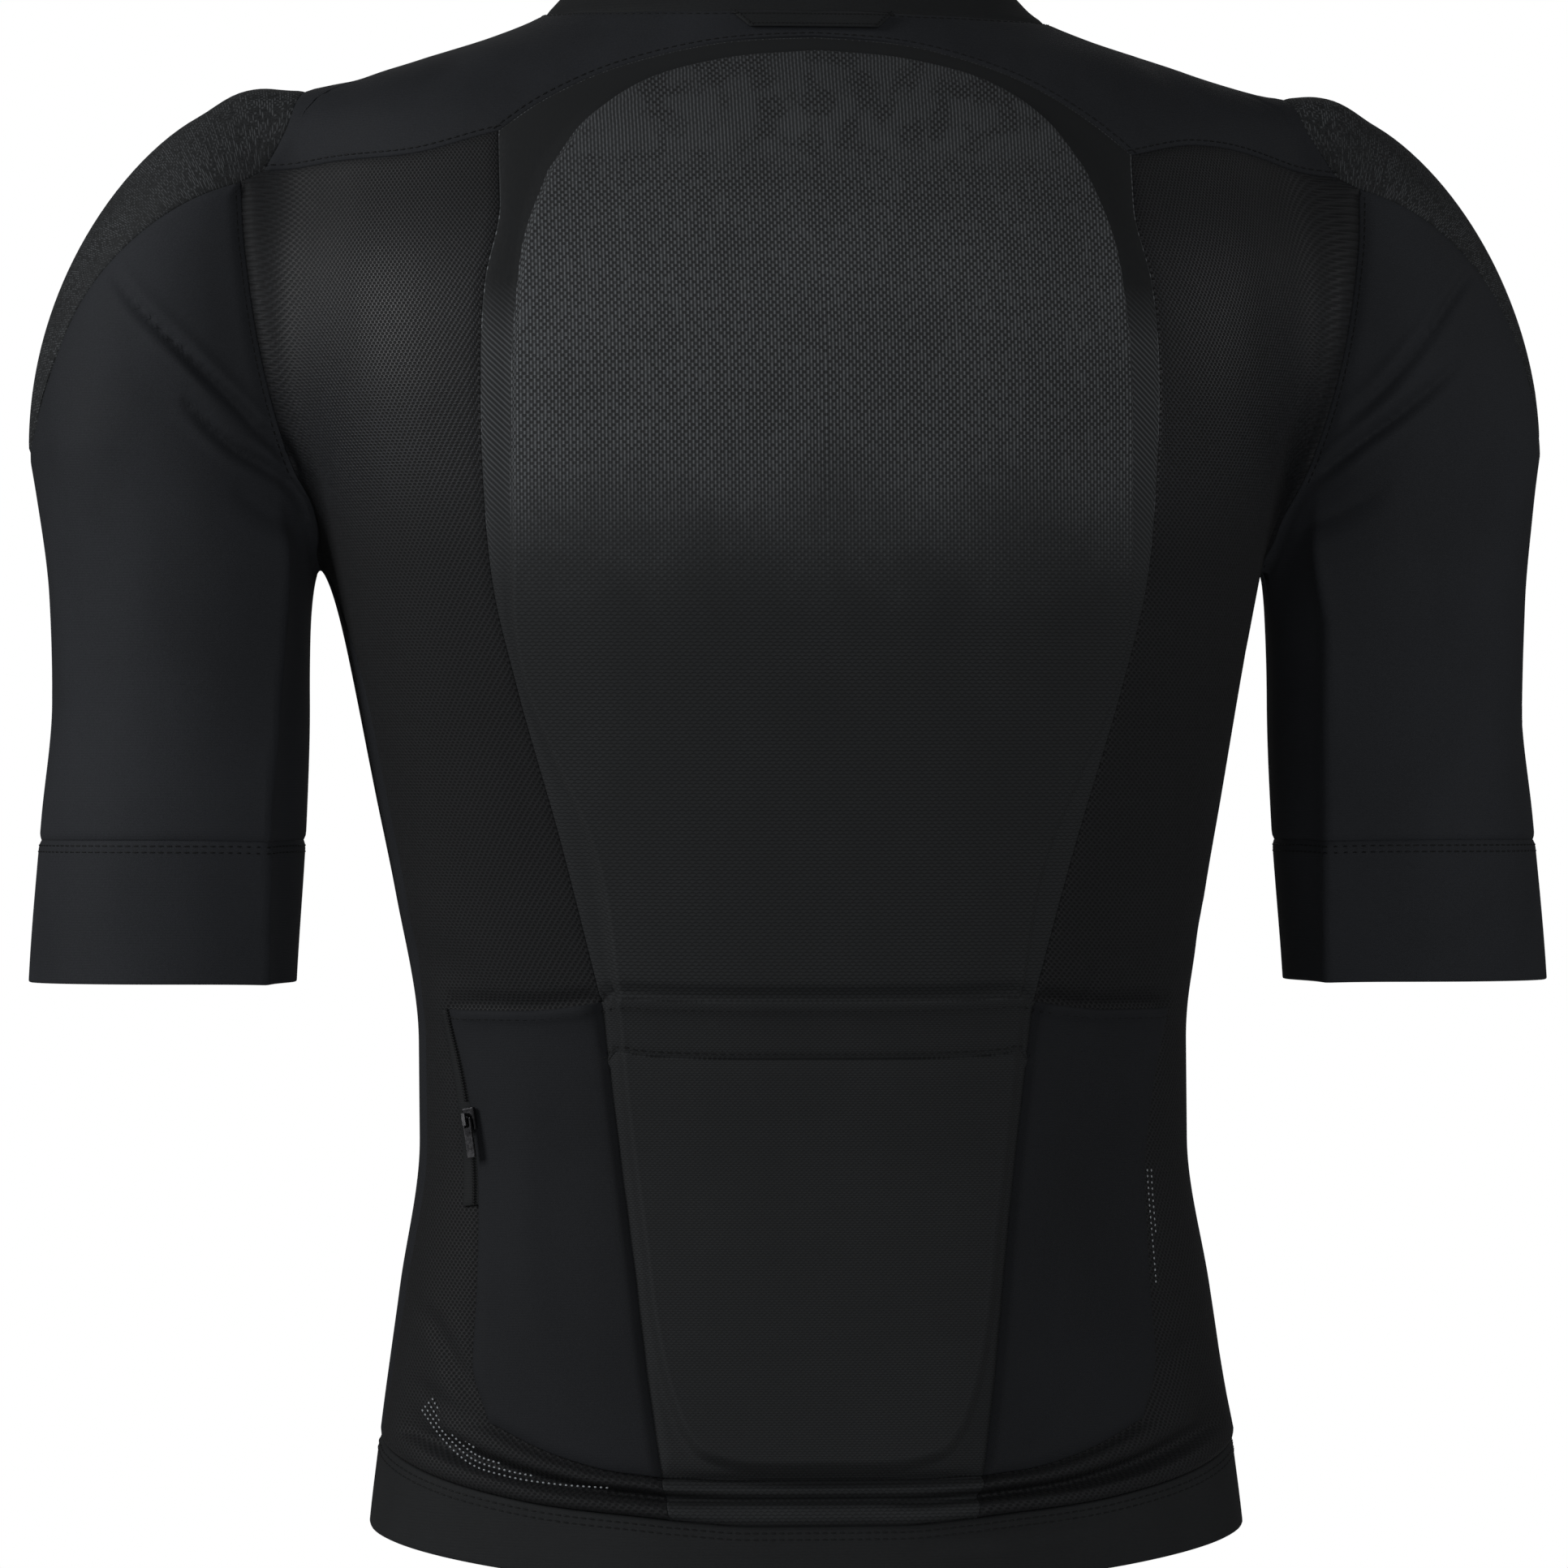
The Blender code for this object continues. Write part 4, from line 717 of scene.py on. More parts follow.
def cloth(
    name, blocks, look, relief, thickness=CLOTH, lift=0.0,
    inner=None, unroll=unrolled, inset=-0.15, raised=None, dense=0,
):
    """A closed wall on a panel's points with a round rim. Its outer face lies lift above the panel's own,
    and its inner face a thickness below that, or at the heights given. The first quads, as many as given, are
    marked as the frame round the protector, with a share that rises towards the top for painted shade."""
    points, faces = weld(*blocks)
    place, height = points[:, :3], points[:, 3]
    normals = outward(place)
    faces = turned_out(place, faces, normals)
    edges = free_edges(faces)
    ways = inward_ways(place, edges, normals)
    waves = relief.at(place)
    outer = height + lift * MM + waves
    if raised is not None:
        outer += raised(place) * MM
    inner = outer - thickness * MM if inner is None else inner(height) + waves
    rim = np.unique(edges)
    radius = min(RIM_SHARE * thickness, RIM_MOST) * MM
    rows = [(outer - down * radius, drawn) for down, drawn in RIM_STEPS]
    rows += [(inner + up * radius, drawn) for up, drawn in RIM_STEPS[::-1]]
    corners, numbers = [], []
    for row, (level, drawn) in enumerate(rows):
        whole = row in (0, len(rows) - 1)
        chosen = np.arange(len(place)) if whole else rim
        shift = (drawn * radius + inset * MM) * ways[chosen]
        number = np.full(len(place), -1)
        number[chosen] = sum(map(len, corners)) + np.arange(len(chosen))
        corners.append(place[chosen] + normals[chosen] * level[chosen, None] + shift)
        numbers.append(number)
    quads = [numbers[0][faces], numbers[-1][faces[:, ::-1]]]
    for one, other in zip(numbers, numbers[1:]):
        quads.append(np.column_stack([one[edges[:, ::-1]], other[edges]]))
    corners, quads = np.concatenate(corners), np.concatenate(quads)
    mesh = bpy.data.meshes.new(name)
    mesh.vertices.add(len(corners))
    mesh.vertices.foreach_set("co", corners.ravel())
    mesh.loops.add(quads.size)
    mesh.loops.foreach_set("vertex_index", quads.ravel())
    mesh.polygons.add(len(quads))
    mesh.polygons.foreach_set("loop_start", np.arange(0, quads.size, 4))
    mesh.update(calc_edges=True)
    flat = unroll(place)
    source = np.concatenate([np.arange(len(place))] + [rim] * (len(rows) - 2) + [np.arange(len(place))])
    at = flat[source][quads]
    # A quad whose corners lie on both sides of the cut gets its far corners brought over.
    span = at[..., 0].max(axis=1) - at[..., 0].min(axis=1)
    at[..., 0] += np.where((span > 0.2)[:, None] & (at[..., 0] < 0), span.max(), 0)
    mesh.uv_layers.new(name="weave").data.foreach_set("uv", at.reshape(-1))
    zone = np.zeros((len(quads), 4, 2))
    # The first channel rises towards the top, where the centre knit paints shade; the second marks the frame.
    zone[:dense, :, 0] = np.clip((place[faces[:dense], 2] - FRAME_SHADE_END * MM) / (FRAME_SHADE_FADE * MM), 0, 1)
    zone[:dense, :, 1] = 1
    mesh.uv_layers.new(name="zone").data.foreach_set("uv", zone.reshape(-1))
    return add(name, mesh, look, nodes=[name])


def stitches(name, lines, look, relief, slot, form=STITCHES, raised=None, clear=None):
    """Short threads in a row along each line, none near the point given as clear. A line is its points, how
    far the row lies to one side of them, and its height."""
    pitch, length, width = form
    sides = THREAD_SIDES
    angles = np.linspace(0, 2 * np.pi, sides + 1)[:-1]
    ring = np.stack([np.cos(angles), THREAD_FLATNESS * np.sin(angles)], axis=-1) * width / 2
    corners, faces = [], []
    for line, aside, lift in lines:
        line = spread(line, pitch * MM)
        normals = outward(line)
        tangent = np.gradient(line[:, :3], axis=0)
        tangent /= np.linalg.norm(tangent, axis=1, keepdims=True)
        across = np.cross(normals, tangent)
        centre = settle(np.column_stack([line[:, :3] + across * aside * MM, line[:, 3]]))
        height = centre[:, 3] + lift * MM + relief.at(centre[:, :3])
        if raised is not None:
            height += raised(centre[:, :3]) * MM
        centre = centre[:, :3] + normals * (height + THREAD_LIFT * MM)[:, None]
        for point, along, up, beside in zip(centre, tangent, normals, across):
            if clear is not None and np.linalg.norm(point - clear[0]) < clear[1] * MM:
                continue
            start = len(corners)
            round_it = ring[:, :1] * beside + ring[:, 1:] * up
            for share, girth in THREAD_RINGS:
                corners.extend(point + (along * share * length + round_it * girth) * MM)
            last = len(corners) - sides
            for first in range(start, last, sides):
                for i in range(sides):
                    a, b = first + i, first + (i + 1) % sides
                    faces.append((a, b, b + sides, a + sides))
            faces.append(tuple(range(start + sides - 1, start - 1, -1)))
            faces.append(tuple(range(last, last + sides)))
    mesh = bpy.data.meshes.new(name)
    mesh.from_pydata(np.array(corners).tolist(), [], faces)
    return add(name, mesh, look)


class Graph:
    """One material's nodes."""

    def __init__(self, name, **values):
        self.material = bpy.data.materials.new(name)
        self.material.use_nodes = True
        self.tree = self.material.node_tree
        self.shader = self.tree.nodes["Principled BSDF"]
        for key, value in values.items():
            self.shader.inputs[key.replace("_", " ")].default_value = value

    def node(self, kind, *inputs, **properties):
        made = self.tree.nodes.new("ShaderNode" + kind)
        for key, value in properties.items():
            setattr(made, key, value)
        for socket, value in zip(made.inputs, inputs):
            self.feed(socket, value)
        return made

    def feed(self, socket, value):
        if isinstance(value, bpy.types.NodeSocket):
            self.tree.links.new(value, socket)
        elif value is not None:
            socket.default_value = value

    def math(self, operation, *inputs):
        return self.node("Math", *inputs, operation=operation).outputs[0]

    def times(self, one, other):
        return self.math("MULTIPLY", one, other)

    def times_plus(self, one, other, added):
        return self.math("MULTIPLY_ADD", one, other, added)

    def minus(self, one, other):
        return self.math("SUBTRACT", one, other)

    def smooth(self, value, low, high, to_low=0.0, to_high=1.0):
        inputs = value, low, high, to_low, to_high
        return self.node("MapRange", *inputs, interpolation_type="SMOOTHSTEP").outputs[0]

    def place(self):
        return self.node("TexCoord").outputs["Object"]

    def noise(self, scale, detail=2.0, roughness=0.5, stretch=None):
        """Noise in the piece's own space, finer along the axes with the larger factors."""
        place = self.place()
        if stretch is not None:
            place = self.node("VectorMath", place, stretch, operation="MULTIPLY").outputs[0]
        made = self.node("TexNoise")
        for key, value in (("Vector", place), ("Scale", scale), ("Detail", detail), ("Roughness", roughness)):
            self.feed(made.inputs[key], value)
        return made.outputs["Fac"]

    def chance(self, *inputs):
        """A random number for each cell of whole numbers."""
        joined = self.node("CombineXYZ", *inputs).outputs[0]
        return self.node("TexWhiteNoise", joined).outputs["Value"]

    def mix(self, share, one, other):
        made = self.node("Mix", data_type="RGBA")
        for index, value in ((0, share), (6, one), (7, other)):
            if isinstance(value, tuple):
                value = (*value, 1.0)
            self.feed(made.inputs[index], value)
        return made.outputs[2]

    def tones(self, share, level, dark, light, tint=(1.0, 1.0, 1.0)):
        """From a darker to a lighter grey round this level."""
        return self.mix(share, grey(level * dark, tint), grey(level * light, tint))

    def layer(self, name):
        return self.node("SeparateXYZ", self.node("UVMap", uv_map=name).outputs[0]).outputs[:2]

    def unrolled(self):
        """How far round and down the panel a point lies, in metres."""
        return self.layer("weave")

    def loops(self, across, down, lean=0.0):
        """Where a point lies in its knitted loop, from -0.5 to 0.5 across and down, and the loop's column
        and row. Every other row is half a loop further on."""
        u, v = self.unrolled()
        u = self.times_plus(v, lean, u)
        down_by = self.math("DIVIDE", v, down)
        row = self.math("FLOOR", down_by)
        across_by = self.times_plus(row, 0.5, self.math("DIVIDE", u, across))
        column = self.math("FLOOR", across_by)
        x, y = (self.minus(self.math("FRACT", by), 0.5) for by in (across_by, down_by))
        return x, y, column, row

    def hole(self, x, y, wide, high, soft=0.5):
        """1 in the middle of a round hole, 0 outside it."""
        wide, high = (self.math("DIVIDE", value, size) for value, size in ((x, wide), (y, high)))
        far = self.math("SQRT", self.times_plus(wide, wide, self.times(high, high)))
        return self.smooth(far, 1 - soft, 1 + soft, 1.0, 0.0)

    def bump(self, height, depth, strength=1.0):
        made = self.node("Bump")
        for key, value in (("Strength", strength), ("Distance", depth), ("Height", height)):
            self.feed(made.inputs[key], value)
        self.feed(self.shader.inputs["Normal"], made.outputs[0])

    def colour(self, value):
        self.feed(self.shader.inputs["Base Color"], value)

    def roughness(self, value):
        self.feed(self.shader.inputs["Roughness"], value)


def grey(level, tint=(1.0, 1.0, 1.0)):
    return tuple(level * share for share in tint)


def jersey(name, level, tint=COOL, rough=0.7, rib=0.0006):
    """Fine smooth knit: rows of tiny loops, hardly to be seen, and slow changes of tone."""
    g = Graph(name, Specular_IOR_Level=0.08, Sheen_Weight=0.01, Sheen_Roughness=0.5)
    slow = g.noise(1.0, 3.0, 0.6, (14, 14, 9))
    fine = g.noise(1500.0, 2.0, 0.6, (1, 1, 1.6))
    tone = g.times_plus(fine, 0.45, g.times(slow, 0.55))
    g.colour(g.tones(g.smooth(tone, 0.3, 0.7), level, 0.78, 1.22, tint))
    height = g.node("SeparateXYZ", g.place()).outputs[2]
    rows = g.math("SINE", g.times(height, 2 * math.pi / rib))
    g.bump(g.times_plus(rows, 0.25, g.noise(2600.0, 2.0, 0.7)), 0.00012, 0.5)
    g.roughness(g.smooth(slow, 0.3, 0.7, rough - 0.05, rough + 0.06))
    return g.material


def spacer(name, level, fine=1.0):
    """Spacer knit: staggered pinholes with ribs between them on the upper back, a closer, flatter knit of
    small arcs below, and leaning threads where the panel is marked so, turning near the top into a flat dark grey
    of painted shade."""
    g = Graph(name, Specular_IOR_Level=0.08, Sheen_Weight=0.01, Sheen_Roughness=0.5)
    x, y, column, row = g.loops(0.0026 * fine, 0.00125 * fine)
    u, v = g.unrolled()
    wander = g.noise(1.0, 3.0, 0.6, (30, 30, 22))
    upper = g.smooth(g.times_plus(wander, 0.02, v), RIB_ZONE_END - 0.03, RIB_ZONE_END + 0.05)
    frame_shade, beside = g.layer("zone")
    open_knit = g.minus(1.0, beside)
    # Towards the top the pinholes come in loose groups.
    groups = g.smooth(g.noise(95.0, 1.0, stretch=(1, 0.3, 1)), 0.4, 0.6, 0.35, 1.0)
    near_top = g.smooth(v, GROUPS_FROM - 0.02, GROUPS_FROM + 0.01)
    grouped = g.math("MAXIMUM", groups, g.minus(1.0, near_top))
    depth = g.times(g.times_plus(upper, 0.62, 0.2), grouped)
    keep = g.smooth(g.chance(column, row, 3.0), 0.0, 0.5, 0.6, 1.0)
    dark = g.times(g.times(g.times(g.hole(x, y, 0.25, 0.52, 0.45), depth), keep), open_knit)
    # Low down, every loop shows as a small dark arc.
    bow = g.times_plus(g.times(x, x), 1.6, y)
    arc = g.times(g.smooth(g.math("ABSOLUTE", bow), 0.05, 0.3, 1.0, 0.0), g.minus(1.0, upper))
    rib = g.math("COSINE", g.times(u, 2 * math.pi / (0.0013 * fine)))
    rib = g.times(g.times(g.smooth(rib, -0.2, 1.0), upper), open_knit)
    thread = g.noise(900.0, 2.0, 0.7, (1, 1, 0.45))
    light = g.times_plus(rib, 0.75, g.times(thread, 0.35))
    light = g.times_plus(g.minus(wander, 0.5), 0.35, light)
    light = g.smooth(g.times_plus(arc, -0.35, light), 0.05, 0.95)
    # Painted shade: towards the top of the back the upper knit is drawn halfway to a dark grey.
    painted_top_shade = g.smooth(v, GROUPS_FROM - 0.06, GROUPS_FROM + 0.04, 0.0, 0.5)
    bright = g.mix(painted_top_shade, g.tones(light, level, 0.5, 1.7, NEUTRAL), grey(level * 0.12, NEUTRAL))
    low = g.tones(light, level, 0.3, 0.8, NEUTRAL)
    low = g.mix(g.times(arc, 0.6), low, grey(level * 0.13, NEUTRAL))
    base = g.mix(upper, low, bright)
    # The strips beside the protector, with threads that lean.
    slant = g.math("SINE", g.times(g.times_plus(v, 1.1, u), 2 * math.pi / 0.0024))
    strip = g.mix(upper, low, g.tones(g.smooth(slant, -0.2, 1.0), level, 0.3, 0.95, NEUTRAL))
    # Near the top the frame is painted a flat dark grey: painted shade where the cloth turns over the protector's
    # top.
    base = g.mix(beside, base, g.mix(frame_shade, strip, grey(level * FRAME_SHADE_LEVEL, NEUTRAL)))
    g.colour(g.mix(dark, base, grey(level * 0.12)))
    height = g.minus(g.times_plus(rib, 0.4, g.times(thread, 0.3)), dark)
    g.bump(g.times_plus(arc, -0.3, height), 0.00025, 0.7)
    g.roughness(g.smooth(thread, 0.2, 0.8, 0.66, 0.82))
    return g.material


def mesh_knit(name, level):
    """Fine mesh: small holes with leaning bright threads between. Over the shoulder blades it is glossier and
    lighter by a painted highlight.
    """
    g = Graph(name, Specular_IOR_Level=0.2, Sheen_Weight=0.01, Sheen_Roughness=0.4)
    x, y, _, _ = g.loops(0.0022, 0.00115, 0.27)
    u, v = g.unrolled()
    aside = g.math("ABSOLUTE", u)
    # Painted highlight: a band over the shoulder blades, weaker at the far sides, with lighter colour, darker holes
    # and less roughness.
    painted_sheen = g.times(g.smooth(v, PAINTED_SHEEN_FROM - 0.05, PAINTED_SHEEN_FROM), g.smooth(v, PAINTED_SHEEN_TO, PAINTED_SHEEN_TO + 0.05, 1.0, 0.25))
    painted_sheen = g.times(painted_sheen, g.smooth(aside, 0.085, 0.11, 1.0, 0.6))
    hole = g.times(g.hole(x, y, 0.27, 0.42), g.smooth(aside, 0.07, 0.1, 1.0, 0.6))
    thread = g.noise(1100.0, 2.0, 0.7, (1, 1, 0.5))
    slow = g.noise(1.0, 3.0, 0.6, (16, 16, 10))
    light = g.smooth(g.times_plus(thread, 0.6, g.times(slow, 0.4)), 0.3, 0.7)
    base = g.mix(painted_sheen, g.tones(light, level, 0.36, 0.7, COOL), g.tones(light, level, 0.62, 1.6, COOL))
    g.colour(g.mix(g.times(hole, g.times_plus(painted_sheen, 0.5, 0.5)), base, grey(level * 0.12)))
    g.bump(g.minus(g.times(thread, 0.35), hole), 0.00028, 0.7)
    dull_rough = g.times_plus(hole, 0.25, g.smooth(thread, 0.2, 0.8, 0.6, 0.72))
    g.roughness(g.times_plus(painted_sheen, -0.22, dull_rough))
    return g.material


def heather(name, level):
    """Mesh of dark and light threads, some lying along the rows and some down the columns."""
    g = Graph(name, Specular_IOR_Level=0.1, Sheen_Weight=0.01, Sheen_Roughness=0.5)
    x, y, column, row = g.loops(0.0018, 0.00085)
    pick = g.chance(column, row, 1.0)
    lying = g.times(g.hole(x, y, 0.42, 0.28, 0.4), g.smooth(pick, 0.55, 0.6))
    upright = g.times(g.hole(x, y, 0.13, 0.62, 0.4), g.smooth(pick, 0.3, 0.35, 0.8, 0.0))
    stroke = g.math("ADD", lying, upright)
    thread = g.noise(1300.0, 2.0, 0.7)
    patches = g.smooth(g.noise(45.0, 3.0, 0.6), 0.35, 0.65, 0.45, 1.0)
    base = g.tones(g.smooth(thread, 0.3, 0.7), level, 0.45, 1.0, NEUTRAL)
    g.colour(g.mix(g.times(stroke, g.times(patches, 0.85)), base, grey(level * 2.9, NEUTRAL)))
    g.bump(g.times_plus(stroke, 0.7, g.times(thread, 0.4)), 0.0002, 0.7)
    g.roughness(g.smooth(thread, 0.2, 0.8, 0.62, 0.82))
    return g.material


def foam(name):
    """Soft moulded foam with rows of small blind holes, painted near black inside as painted shade."""
    g = Graph(name, Specular_IOR_Level=0.3)
    x, y, _, _ = g.loops(0.012, 0.006)
    hole = g.hole(x, y, 0.14, 0.28, 0.25)
    pores = g.noise(2200.0, 3.0, 0.7)
    # Painted shade: the blind holes are near black against the foam's grey.
    g.colour(g.mix(hole, g.tones(g.smooth(pores, 0.3, 0.7), 1, 0.036, 0.062), grey(0.008)))
    g.bump(g.minus(g.times(pores, 0.2), hole), 0.0012, 0.8)
    g.roughness(g.smooth(pores, 0.2, 0.8, 0.7, 0.9))
    return g.material


def thread_look(name, level):
    g = Graph(name, Specular_IOR_Level=0.12)
    twist = g.noise(5200.0, 2.0, 0.6, (1, 1, 0.6))
    g.colour(g.tones(twist, level, 0.6, 1.5, NEUTRAL))
    g.bump(twist, 0.0001, 0.6)
    g.roughness(g.smooth(twist, 0.2, 0.8, 0.45, 0.6))
    return g.material


def gunmetal(name):
    """Dark plated metal, brushed along its length and brighter where it rubs."""
    g = Graph(name, Metallic=1.0)
    brushed = g.noise(6000.0, 3.0, 0.6, (1, 1, 0.12))
    worn = g.noise(700.0, 3.0, 0.7)
    edge = g.smooth(g.node("NewGeometry").outputs["Pointiness"], 0.52, 0.62)
    base = g.mix(g.smooth(worn, 0.35, 0.7), (0.022, 0.022, 0.024), (0.04, 0.04, 0.043))
    g.colour(g.mix(edge, base, (0.11, 0.11, 0.115)))
    g.bump(brushed, 0.00003, 0.5)
    g.roughness(g.smooth(worn, 0.2, 0.8, 0.26, 0.42))
    return g.material


def fabrics():
    """The cloths of the shirt, by the pieces they are used on."""
    return {
        "centre": spacer("centre_knit", LEVELS["centre"]),
        "pocket_center": spacer("pocket_center_knit", LEVELS["pocket_center"], 0.7),
        "side": mesh_knit("side_mesh", LEVELS["side"]),
        "cap": heather("heather_mesh", LEVELS["cap"]),
        "foam": foam("foam"),
        "tape": jersey("zip_tape_weave", LEVELS["tape"], NEUTRAL, 0.6, 0.0009),
        "thread": thread_look("thread", LEVELS["thread"]),
        # The open mesh's threads are bright with painted highlights.
        "open_mesh": thread_look("open_mesh_painted_light", LEVELS["open_mesh"]),
        **{kind: jersey(f"{kind}_jersey", LEVELS[kind]) for kind in ("sleeve", "cuff", "pocket", "yoke", "front")},
        **{kind: jersey(f"{kind}_rib", LEVELS[kind], NEUTRAL, 0.74, 0.0011) for kind in ("collar", "hem", "tab")},
    }


def side_seams(side):
    """The seams of one side of the shirt, by name."""
    upper = CELLS["armhole"] + CELLS["side"]
    foot = (YOKE_ARC[0][0], YOKE_ARC[0][2 if side == SIDES["left"] else 3])
    centre = back_seam((foot,) + CENTRE_SEAM, upper, side)
    centre[0] = yoke_seam(YOKE_ARC[:2], 1, side)[0]
    own = {
        "armhole_back": seam(ARMHOLE_BACK, CELLS["armhole"], side),
        "armhole_front": seam(ARMHOLE_FRONT, CELLS["armhole"], side),
        "armhole_top": seam(ARMHOLE_TOP, CELLS["shoulder"], side),
        "jog_back": seam((BACK_CORNER, YOKE_CORNER), CELLS["jog"], side),
        "jog_front": seam((FRONT_CORNER, FRONT_YOKE_CORNER), CELLS["jog"], side),
        "shoulder": seam(SHOULDER_SEAM, CELLS["yoke"], side),
        "cap_back": seam(CAP_BACK, CELLS["cap"], side),
        "cap_tip": seam(CAP_TIP, CELLS["shoulder"], side),
        "cap_front": seam(CAP_FRONT, CELLS["cap"], side),
        "side": seam(SIDE_SEAM, CELLS["side"], side),
        "side_low": seam(SIDE_SEAM_LOW, POCKET_LINES, side),
        "hem_side": seam(HEM_SIDE, CELLS["pocket_width"], side),
        "hem_edge_side": seam(HEM_EDGE_SIDE, CELLS["pocket_width"], side),
        "yoke_back": yoke_seam(YOKE_BACK, CELLS["yoke_seam"], side),
        "centre": centre,
        "centre_low": back_seam(CENTRE_SEAM_LOW, POCKET_LINES, side),
        "pocket_edge": back_seam(POCKET_EDGE, POCKET_LINES, side),
        "pocket_bottom": back_seam(POCKET_BOTTOM, CELLS["pocket_width"], side),
        "pocket_top": back_seam(POCKET_TOP_SIDE, CELLS["pocket_width"], side),
        "protector": join(
            back_seam(PROTECTOR_SIDE, upper, side), back_seam(PROTECTOR_SIDE_LOW, POCKET_LINES, side)
        ),
        "sleeve": sleeve_lines(side),
    }
    own["above_pocket"], own["cuff"] = above_mouth(own["pocket_top"]), own["sleeve"][4]
    return own


def folded(grid):
    """Gives the lines of a strip above the hem the heights of its folds."""
    table = np.array(HEM_FOLDS)
    beside, lens = interpolate(table[:, 0], table[:, 1:], np.linspace(0, 1, len(grid)))[0].T
    middle, half, fade = HEM_LENS
    away = step_up(abs(grid[..., 0] / MM - middle), half, half + fade)
    grid[..., 3] = (away * beside[:, None] + (1 - away) * lens[:, None]) * MM


def round_pocket(seams):
    """The grid between a side pocket and the side seam and hem, whose lines turn the pocket's corner and
    fold above the hem."""
    inner = join(seams["pocket_edge"], seams["pocket_bottom"])
    grid = strip(inner, join(seams["side_low"], seams["hem_side"]), CELLS["fold"])
    step = CELLS["pocket_row"]
    folded(grid)
    grid[..., 3] *= step_up(np.arange(grid.shape[1]) - len(POCKET_LINES) + 1, -step, step)
    return grid


def back_side(seams):
    """The blocks of the panel beside the back: above the pocket, under it and round it."""
    beside = round_pocket(seams)
    above = patch(
        join(seams["jog_back"], seams["yoke_back"]),
        join(beside[::-1, 0], seams["pocket_top"]),
        join(seams["armhole_back"][::-1], seams["side"]),
        seams["centre"],
    )
    under = patch(seams["pocket_top"], seams["pocket_bottom"], seams["pocket_edge"], seams["centre_low"])
    return above, under, beside


def inside(loop, distance):
    """A closed loop on the body form moved in by this distance, in steps that keep its corners round."""
    moved = loop.copy()
    for _ in range(INSIDE_STEPS):
        ahead, behind = np.roll(moved, -1, axis=0), np.roll(moved, 1, axis=0)
        way = np.cross(outward(moved), (ahead - behind)[:, :3])
        way /= np.linalg.norm(way, axis=1, keepdims=True)
        moved = 0.5 * moved + 0.25 * (ahead + behind)
        moved[:, :3] -= distance * MM / INSIDE_STEPS * way
        moved = settle(moved)
    return moved


def centre_back(left, right):
    """The blocks of the centre back panel: a frame round the protector, the slope up its edge, its raised
    face, and the folds between the pocket and the hem. Each frame block runs along one edge."""
    half = CELLS["arc"] // 2
    outline = [
        mirrored(back_seam, PROTECTOR_TOP, half),
        right["protector"],
        mirrored(back_seam, PROTECTOR_BOTTOM, half)[::-1],
        left["protector"][::-1],
    ]
    ends = np.cumsum([0] + [len(edge) - 1 for edge in outline])
    loop = inside(join(*outline)[:-1], PROTECTOR_SLOPE)
    loop[:, 3] = PROTECTOR_RAISE * MM
    loop = np.concatenate([loop, loop[:1]])
    raised = [loop[start : end + 1] for start, end in zip(ends, ends[1:])]
    seams = [
        mirrored(yoke_seam, YOKE_ARC, half),
        join(right["centre"], right["centre_low"]),
        mirrored(back_seam, POCKET_BOTTOM_BACK, half)[::-1],
        join(left["centre"], left["centre_low"])[::-1],
    ]
    frame = [strip(outer, inner, CELLS["frame"]) for outer, inner in zip(seams, outline)]
    slope = [strip(outer, inner, CELLS["slope"]) for outer, inner in zip(outline, raised)]
    rise = step_up(np.linspace(0, 1, CELLS["slope"] + 1), 0, PROTECTOR_STEEP)
    for grid in slope:
        grid[..., 3] = (PROTECTOR_RAISE * MM * rise)[:, None]
    face = patch(raised[0], raised[2][::-1], raised[3][::-1], raised[1], fading=PROTECTOR_FADING)
    across = np.linspace(-1, 1, face.shape[1])[None, :]
    down = np.linspace(-1, 1, face.shape[0])[:, None]
    face[..., 3] += PROTECTOR_CROWN * MM * (1 - across**2) * (1 - down**6)
    folds = strip(seams[2], mirrored(seam, HEM_BACK, half)[::-1], CELLS["fold"])
    folded(folds)
    return frame, slope, face, folds


def centre_pocket(frame, slope, face):
    """The blocks of the centre pocket's band and of the rest of it, over the lower back panel."""
    top = CELLS["armhole"] + CELLS["side"]
    end = top + CELLS["pocket_row"] * POCKET_BAND_ROWS
    band, rest = [face[top : end + 1]], [face[end:]]
    for _, right, bottom, left in (frame, slope):
        band += [right[:, top : end + 1], left[:, -end - 1 : -top]]
        rest += [right[:, end:], left[:, :-end], bottom]
    across = []
    for row in (top, end):
        start, stop = (frame[3][:, -row - 1], slope[3][:, -row - 1]), (slope[1][::-1, row], frame[1][::-1, row])
        across.append(join(*start, face[row], *stop))
    return band, rest, *across


def above_mouth(line):
    """The line just above a pocket's mouth, where the cloth behind it is drawn in."""
    return settle(line + np.array((0, 0, MOUTH_ABOVE * MM, 0)))


def standing_off(line):
    """How far a pocket stands off below its mouth, with a bead along the edge. The mouth's ends are sewn down."""
    order = np.argsort(line[:, 0])
    first, last = line[order[0], 0], line[order[-1], 0]

    def raised(place):
        below = np.maximum(np.interp(place[:, 0], line[order, 0], line[order, 2]) - place[:, 2], 0) / MM
        free = step_up(np.minimum(place[:, 0] - first, last - place[:, 0]) / MM, 0, MOUTH_ENDS)
        bead = MOUTH_BEAD * np.exp(-((below - BEAD_BELOW) ** 2))
        return free * (MOUTH_LIFT * np.exp(-below / MOUTH_REACH) + bead)

    return raised


